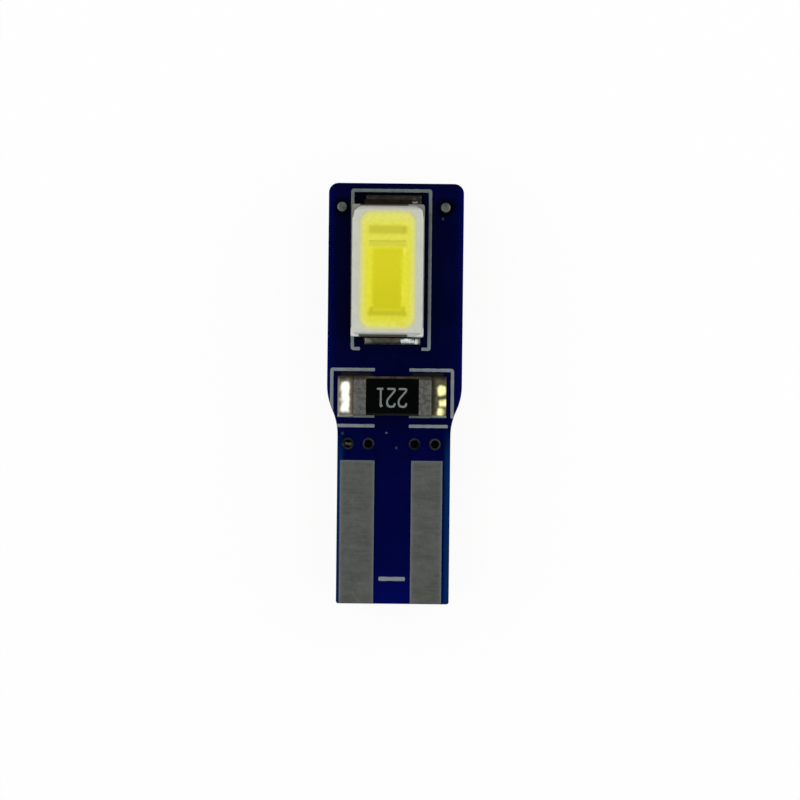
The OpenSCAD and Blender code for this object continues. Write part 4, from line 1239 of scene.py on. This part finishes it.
class WEDGEBULB_OT_phosphors(bpy.types.Operator):
    """Fill the two LEDs with phosphor, whose surface dips from the lip to the middle"""
    bl_idname = "wedgebulb.phosphors"
    bl_label = "Phosphor"
    bl_options = {"REGISTER", "UNDO"}

    def execute(self, context):
        """Height: the fill's, less a dip that grows with the distance from the border as one less
        an exponential, and less a faint further dip over the cup."""
        h = LED_SIZE[2]
        top = h - 0.012
        shrink = 2 * REFLECTOR_RUN * (h - top) / (h - PLATE_H)
        x, y = grid(WINDOW[0] - shrink + 0.02, WINDOW[1] - shrink + 0.02, WINDOW[2], 61, 121)
        inside = np.minimum(WINDOW[0] / 2 - np.abs(x), WINDOW[1] / 2 - np.abs(y))
        dip = look().meniscus / MM * (1 - np.exp(-np.clip(inside, 0, None) / 0.12))
        over_cup = np.exp(-(x / 0.7) ** 4 - ((y + 0.33) / 1.4) ** 6)
        upper = np.stack((x, y, top - dip - 0.006 * over_cup), -1)
        narrow = 1 - 0.3 / np.array(WINDOW[:2])
        lower = np.stack((x * narrow[0], y * narrow[1], np.full_like(x, PLATE_H + 0.01)), -1)
        for face in FACES:
            add_piece(f"{face}_silicone_fill", [led_surface(slab(upper, lower), face)],
                      f"{face}_phosphor", [f"{face}_led_phosphor"])
        return {"FINISHED"}


class WEDGEBULB_OT_led_insides(bpy.types.Operator):
    """Finish the lead frames, chips and bond wires, which keep their CAD shape"""
    bl_idname = "wedgebulb.led_insides"
    bl_label = "Lead frames, chips and wires"
    bl_options = {"REGISTER", "UNDO"}

    def execute(self, context):
        for face in FACES:
            dress([f"{face}_led_anode_lead", f"{face}_led_cathode_lead"], "lead_metal")
            dress([f"{face}_led_chip"], "chip")
            dress([f"{face}_led_bond_wires"], "gold")
        return {"FINISHED"}


def fillet(away):
    """Hollow curve of a solder joint: 1 at the part, 0 at a distance of 1, along a quarter circle."""
    return 1 - np.sqrt(np.clip(1 - (1 - np.clip(away, 0, 1)) ** 2, 0, 1))


class WEDGEBULB_OT_led_joints(bpy.types.Operator):
    """Solder the LED's leads: the joint fills the land, and climbs the tip of the lead"""
    bl_idname = "wedgebulb.led_joints"
    bl_label = "LED solder joints"
    bl_options = {"REGISTER", "UNDO"}

    def execute(self, context):
        """Height: a film below the LED; beyond the lead's tip a fillet that falls to the land's
        edge, lower beside the lead, hollow at the upper end and full at the lower one, where it
        covers the tip; and slow waves as lumps."""
        lumps = look().solder_lumps / MM
        for face in FACES:
            leads = [seen(f"{face}_led_{lead}_lead") for lead in ("anode", "cathode")]
            lead_x = middle(f"{face}_led_housing")[0]
            lead_half = (leads[0][1][0] - leads[0][0][0]) / 2
            for number, (end, sign) in enumerate(ENDS.items()):
                node = f"{face}_led_{end}_solder"
                low, high = seen(node)
                size, centre = high - low, (high + low) / 2
                tip = max(l[1][1] for l in leads) if sign > 0 else min(l[0][1] for l in leads)
                crest = high[2] if sign > 0 else SEAT + LEAD_T + 0.05
                tip = tip if sign > 0 else tip + 0.15
                toe = high[1] if sign > 0 else low[1]
                x, y = grid(size[0], size[1], 0.02, 81, 81)
                x, y = x + centre[0], y + centre[1]
                away = (y - tip) / (toe - tip)
                beside = np.clip((np.abs(x - lead_x) - lead_half) / 0.2, 0, 1)
                nearness = np.clip(np.maximum(away, beside), 0, 1)
                shape = fillet(nearness) if sign > 0 else np.sqrt(1 - nearness ** 2)
                climb = (crest - SEAT) * shape
                edge = np.minimum(np.minimum(x - low[0], high[0] - x), np.minimum(y - low[1], high[1] - y))
                film = COPPER_H + (SEAT - COPPER_H) * np.clip(edge / 0.07, 0, 1) ** 0.5
                out = np.clip(away * 3 + 0.6, 0, 1)
                rough = lumps * (wave(x * 1.3 + y, 5 + number, 0.9) + wave(x - y, 8 + number, 0.5))
                top = film - 0.003 + climb * 0.97 + out * np.clip(edge / 0.1, 0, 1) * np.abs(rough) * 0.6
                top = np.where(away > 0, top, np.minimum(top, SEAT - 0.003))
                upper = np.stack((x, y, top), -1)
                lower = np.stack((x, y, np.full_like(x, COPPER_H - 0.001)), -1)
                add_piece(f"{face}_led_{end}_joint", [on_face(slab(upper, lower), face)],
                          f"{face}_led_solder", [node])
        return {"FINISHED"}


class WEDGEBULB_OT_resistors(bpy.types.Operator):
    """Build the two resistors: ceramic body, pillow-shaped black coat and two round-edged caps"""
    bl_idname = "wedgebulb.resistors"
    bl_label = "Resistors"
    bl_options = {"REGISTER", "UNDO"}

    def execute(self, context):
        edge = look().cap_edge / MM
        for face in FACES:
            dress([f"{face}_resistor_body"], "ceramic")
            dress([f"{face}_resistor_film"], "film")
            low, high = seen(f"{face}_resistor_coat")
            coat = soft_box(low, high - (0, 0, 0.008), 0.02, 0.05, 0.008)
            add_piece(f"{face}_resistor_overcoat", [on_face(coat, face)], "black_coat",
                      [f"{face}_resistor_coat"])
            for side in SIDES:
                node = f"{face}_resistor_{side}_cap"
                low, high = seen(node)
                cap = soft_box(low - (0, 0.006, 0), high + (0, 0.006, -0.006), edge, 0.06, 0.006)
                add_piece(f"{face}_resistor_{side}_end_cap", [on_face(cap, face)], "cap_metal",
                          [node])
        return {"FINISHED"}


DIGITS = {
    "1": [[(0.06, 0.88), (0.15, 1.0), (0.15, 0.04)], [(0.0, 0.0), (0.38, 0.0)]],
    "2": [[(0.0, 0.78), (0.04, 0.96), (0.2, 1.0), (0.37, 0.96), (0.44, 0.8), (0.42, 0.6),
           (0.02, 0.12), (0.0, 0.0), (0.44, 0.0)]],
}
VALUE_CODE = "221"


class WEDGEBULB_OT_value_code(bpy.types.Operator):
    """Print the generic value code on the resistors, upside down as they are placed"""
    bl_idname = "wedgebulb.value_code"
    bl_label = "Value code"
    bl_options = {"REGISTER", "UNDO"}

    def execute(self, context):
        tall, stroke = look().digit_height / MM, look().digit_stroke / MM
        pitch = 0.573 * tall
        span = pitch * (len(VALUE_CODE) - 1) + 0.38 * (tall - stroke)
        for face in FACES:
            x, y, _ = middle(f"{face}_resistor_coat")
            top = seen(f"{face}_resistor_coat")[1][2] - 0.004
            strokes = []
            for place_number, digit in enumerate(VALUE_CODE):
                for corners in DIGITS[digit]:
                    points = np.array(corners) * (tall - stroke)
                    points += (place_number * pitch - span / 2, -(tall - stroke) / 2)
                    path = soft_path(np.array((x - 0.035, y - 0.075)) - points, 0.04)
                    strokes.append(on_face(ribbon(path, stroke, 0.006,
                                                  lambda a, b: np.full_like(a, top), 40, 0.04), face))
            add_piece(f"{face}_value_code", strokes, "digit_ink")
        return {"FINISHED"}


class WEDGEBULB_OT_resistor_joints(bpy.types.Operator):
    """Solder the resistors' caps: hollow, lumpy fillets that spread from the cap to the land"""
    bl_idname = "wedgebulb.resistor_joints"
    bl_label = "Resistor solder joints"
    bl_options = {"REGISTER", "UNDO"}

    def execute(self, context):
        """Height: a film below the cap; outside it a hollow fillet whose foot is an arc, lower
        towards the long edges, with slow waves as lumps."""
        lumps = look().solder_lumps / MM
        for face in FACES:
            cap_y = middle(f"{face}_resistor_left_cap")[1]
            for number, (side, sign) in enumerate(SIDES.items()):
                node = f"{face}_resistor_{side}_solder"
                low, high = seen(node)
                size, centre = high - low, (high + low) / 2
                wall = seen(f"{face}_resistor_{side}_cap")[0 if sign < 0 else 1][0]
                toe = low[0] if sign < 0 else high[0]
                x, y = grid(size[0], size[1], 0.02, 81, 81)
                x, y = x + centre[0], y + centre[1]
                off = np.abs(y - cap_y) / (size[1] / 2)
                away = (x - wall) / (toe - wall) * (1 + 0.12 * off ** 3)
                climb = (high[2] - SEAT) * fillet(away) * (1 - 0.55 * off ** 5)
                edge = np.minimum(np.minimum(x - low[0], high[0] - x), np.minimum(y - low[1], high[1] - y))
                film = COPPER_H + (SEAT - COPPER_H) * np.clip(edge / 0.08, 0, 1) ** 0.5
                outside = np.clip(away * 5, 0, 1)
                rough = wave(x * 0.6 + y * 1.2, 11 + number, 2.4) + wave(y * 1.4 - x, 14 + number, 1.8)
                top = film - 0.003 + climb * 0.97
                top = top + outside * np.clip(edge / 0.12, 0, 1) * lumps * (0.8 + 0.4 * rough)
                top = np.where(away <= 0, np.minimum(top, SEAT - 0.003), top)
                upper = np.stack((x, y, top), -1)
                lower = np.stack((x, y, np.full_like(x, COPPER_H - 0.001)), -1)
                finish = "pale_solder" if sign < 0 else "amber_solder"
                add_piece(f"{face}_resistor_{side}_joint", [on_face(slab(upper, lower), face)],
                          finish, [node])
        return {"FINISHED"}


class WEDGEBULB_OT_stage(bpy.types.Operator):
    """Set the white floor, the soft room, two soft lamps and the camera"""
    bl_idname = "wedgebulb.stage"
    bl_label = "Stage"
    bl_options = {"REGISTER", "UNDO"}

    def execute(self, context):
        settings = bpy.context.scene.wedge_bulb_stage
        low, high = (np.array(c) for c in CAD_BOX)
        self.add_floor(low[2], settings)
        self.add_room(settings)
        for name, side in SIDES.items():
            self.add_lamp(f"{name}_lamp", (side * 0.13, 0.02, 0.13 + high[2]), settings.lamp)
        self.add_camera(high, settings)
        return {"FINISHED"}

    def add_floor(self, z, settings):
        """A wide flat grid that the bulb lies on. The camera and reflections see it almost white."""
        x, y = grid(4.0, 4.0, 0.5, 9, 9)
        mesh = bpy.data.meshes.new("floor")
        points, quads, _ = slab(np.stack((x, y, np.full_like(x, z)), -1),
                                np.stack((x, y, np.full_like(x, z - 0.01)), -1))
        mesh.from_pydata(points.tolist(), [], quads.tolist())
        material = bpy.data.materials.new("floor")
        material.use_nodes = True
        material.node_tree.nodes.clear()
        s = Shader(material.node_tree)
        rays = s.add("LightPath").outputs
        direct = s.math("MAXIMUM", rays["Is Camera Ray"],
                        s.math("MAXIMUM", rays["Is Glossy Ray"], rays["Is Transmission Ray"]))
        paper = s.add("BsdfDiffuse", {"Color": (0.93, 0.93, 0.93, 1)}).outputs[0]
        white = s.add("Emission", {"Color": (1, 1, 1, 1), "Strength": 1.0}).outputs[0]
        mixed = s.add("MixShader", {0: s.math("MULTIPLY", direct, 1 - settings.shadow), 1: paper,
                                    2: white}).outputs[0]
        s.add("OutputMaterial", {0: mixed})
        mesh.materials.append(material)
        floor = bpy.data.objects.new("floor", mesh)
        bpy.context.scene.collection.objects.link(floor)

    def add_room(self, settings):
        """Light from all round: white at the horizon, dimmer towards the zenith."""
        world = bpy.data.worlds.new("room")
        world.use_nodes = True
        world.node_tree.nodes.clear()
        s = Shader(world.node_tree)
        up = s.split(s.add("TexCoord").outputs["Generated"])[2]
        level = s.add("MapRange", {0: up, 1: 0.0, 2: 1.0, 3: 1.0, 4: settings.zenith}).outputs[0]
        light = s.add("Background", {"Color": (1, 1, 1, 1), "Strength": level}).outputs[0]
        s.add("OutputWorld", {0: light})
        bpy.context.scene.world = world

    def add_lamp(self, name, spot, brightness):
        """Square soft lamp that faces the bulb. Its power is its brightness times pi and its area."""
        side = 0.2
        data = bpy.data.lights.new(name, "AREA")
        data.shape, data.size = "SQUARE", side
        data.energy = brightness * math.pi * side * side
        lamp = bpy.data.objects.new(name, data)
        lamp.location = spot
        lamp.rotation_mode = "QUATERNION"
        lamp.rotation_quaternion = (-Vector(spot)).to_track_quat("-Z", "Y")
        bpy.context.scene.collection.objects.link(lamp)

    def add_camera(self, high, settings):
        """Camera above the front face, leaning to the LED end, with its own roll."""
        back = Vector((0, math.sin(settings.tilt), math.cos(settings.tilt)))
        right = Vector((1, 0, 0))
        up = back.cross(right)
        turned_up = up * math.cos(settings.roll) + right * math.sin(settings.roll)
        turned_right = turned_up.cross(back)
        aim = Vector((settings.aim_x, settings.aim_y, BOARD_HIGH[2] * MM))
        spot = aim + back * settings.distance
        matrix = Matrix((turned_right, turned_up, back)).transposed().to_4x4()
        matrix.translation = spot
        data = bpy.data.cameras.new("camera")
        data.sensor_width, data.lens = 36.0, settings.lens
        data.clip_start, data.clip_end = 0.002, 20.0
        camera = bpy.data.objects.new("camera", data)
        camera.matrix_world = matrix
        bpy.context.scene.collection.objects.link(camera)
        bpy.context.scene.camera = camera
        bpy.context.scene.view_settings.view_transform = "Standard"


OPERATORS = (
    WEDGEBULB_OT_board, WEDGEBULB_OT_legend, WEDGEBULB_OT_contacts, WEDGEBULB_OT_vias,
    WEDGEBULB_OT_housings, WEDGEBULB_OT_phosphors, WEDGEBULB_OT_led_insides,
    WEDGEBULB_OT_led_joints, WEDGEBULB_OT_resistors, WEDGEBULB_OT_value_code,
    WEDGEBULB_OT_resistor_joints, WEDGEBULB_OT_stage,
)


class WEDGEBULB_PT_bulb(bpy.types.Panel):
    """Lists the steps that build the bulb, and what may be changed before them"""
    bl_idname = "WEDGEBULB_PT_bulb"
    bl_label = "Wedge base LED bulb"
    bl_space_type = "VIEW_3D"
    bl_region_type = "UI"
    bl_category = "Bulb"

    def draw(self, context):
        for operator in OPERATORS:
            self.layout.operator(operator.bl_idname)
        for settings in (context.scene.wedge_bulb, context.scene.wedge_bulb_stage):
            column = self.layout.column()
            for name in settings.__annotations__:
                column.prop(settings, name)


CLASSES = (BulbLook, StageLook, *OPERATORS, WEDGEBULB_PT_bulb)


def register():
    for cls in CLASSES:
        bpy.utils.register_class(cls)
    bpy.types.Scene.wedge_bulb = PointerProperty(type=BulbLook)
    bpy.types.Scene.wedge_bulb_stage = PointerProperty(type=StageLook)


def unregister():
    del bpy.types.Scene.wedge_bulb_stage
    del bpy.types.Scene.wedge_bulb
    for cls in reversed(CLASSES):
        bpy.utils.unregister_class(cls)


def main():
    """Builds the bulb and its stage."""
    register()
    for operator in OPERATORS:
        package, name = operator.bl_idname.split(".")
        getattr(getattr(bpy.ops, package), name)()


if __name__ == "__main__":
    main()
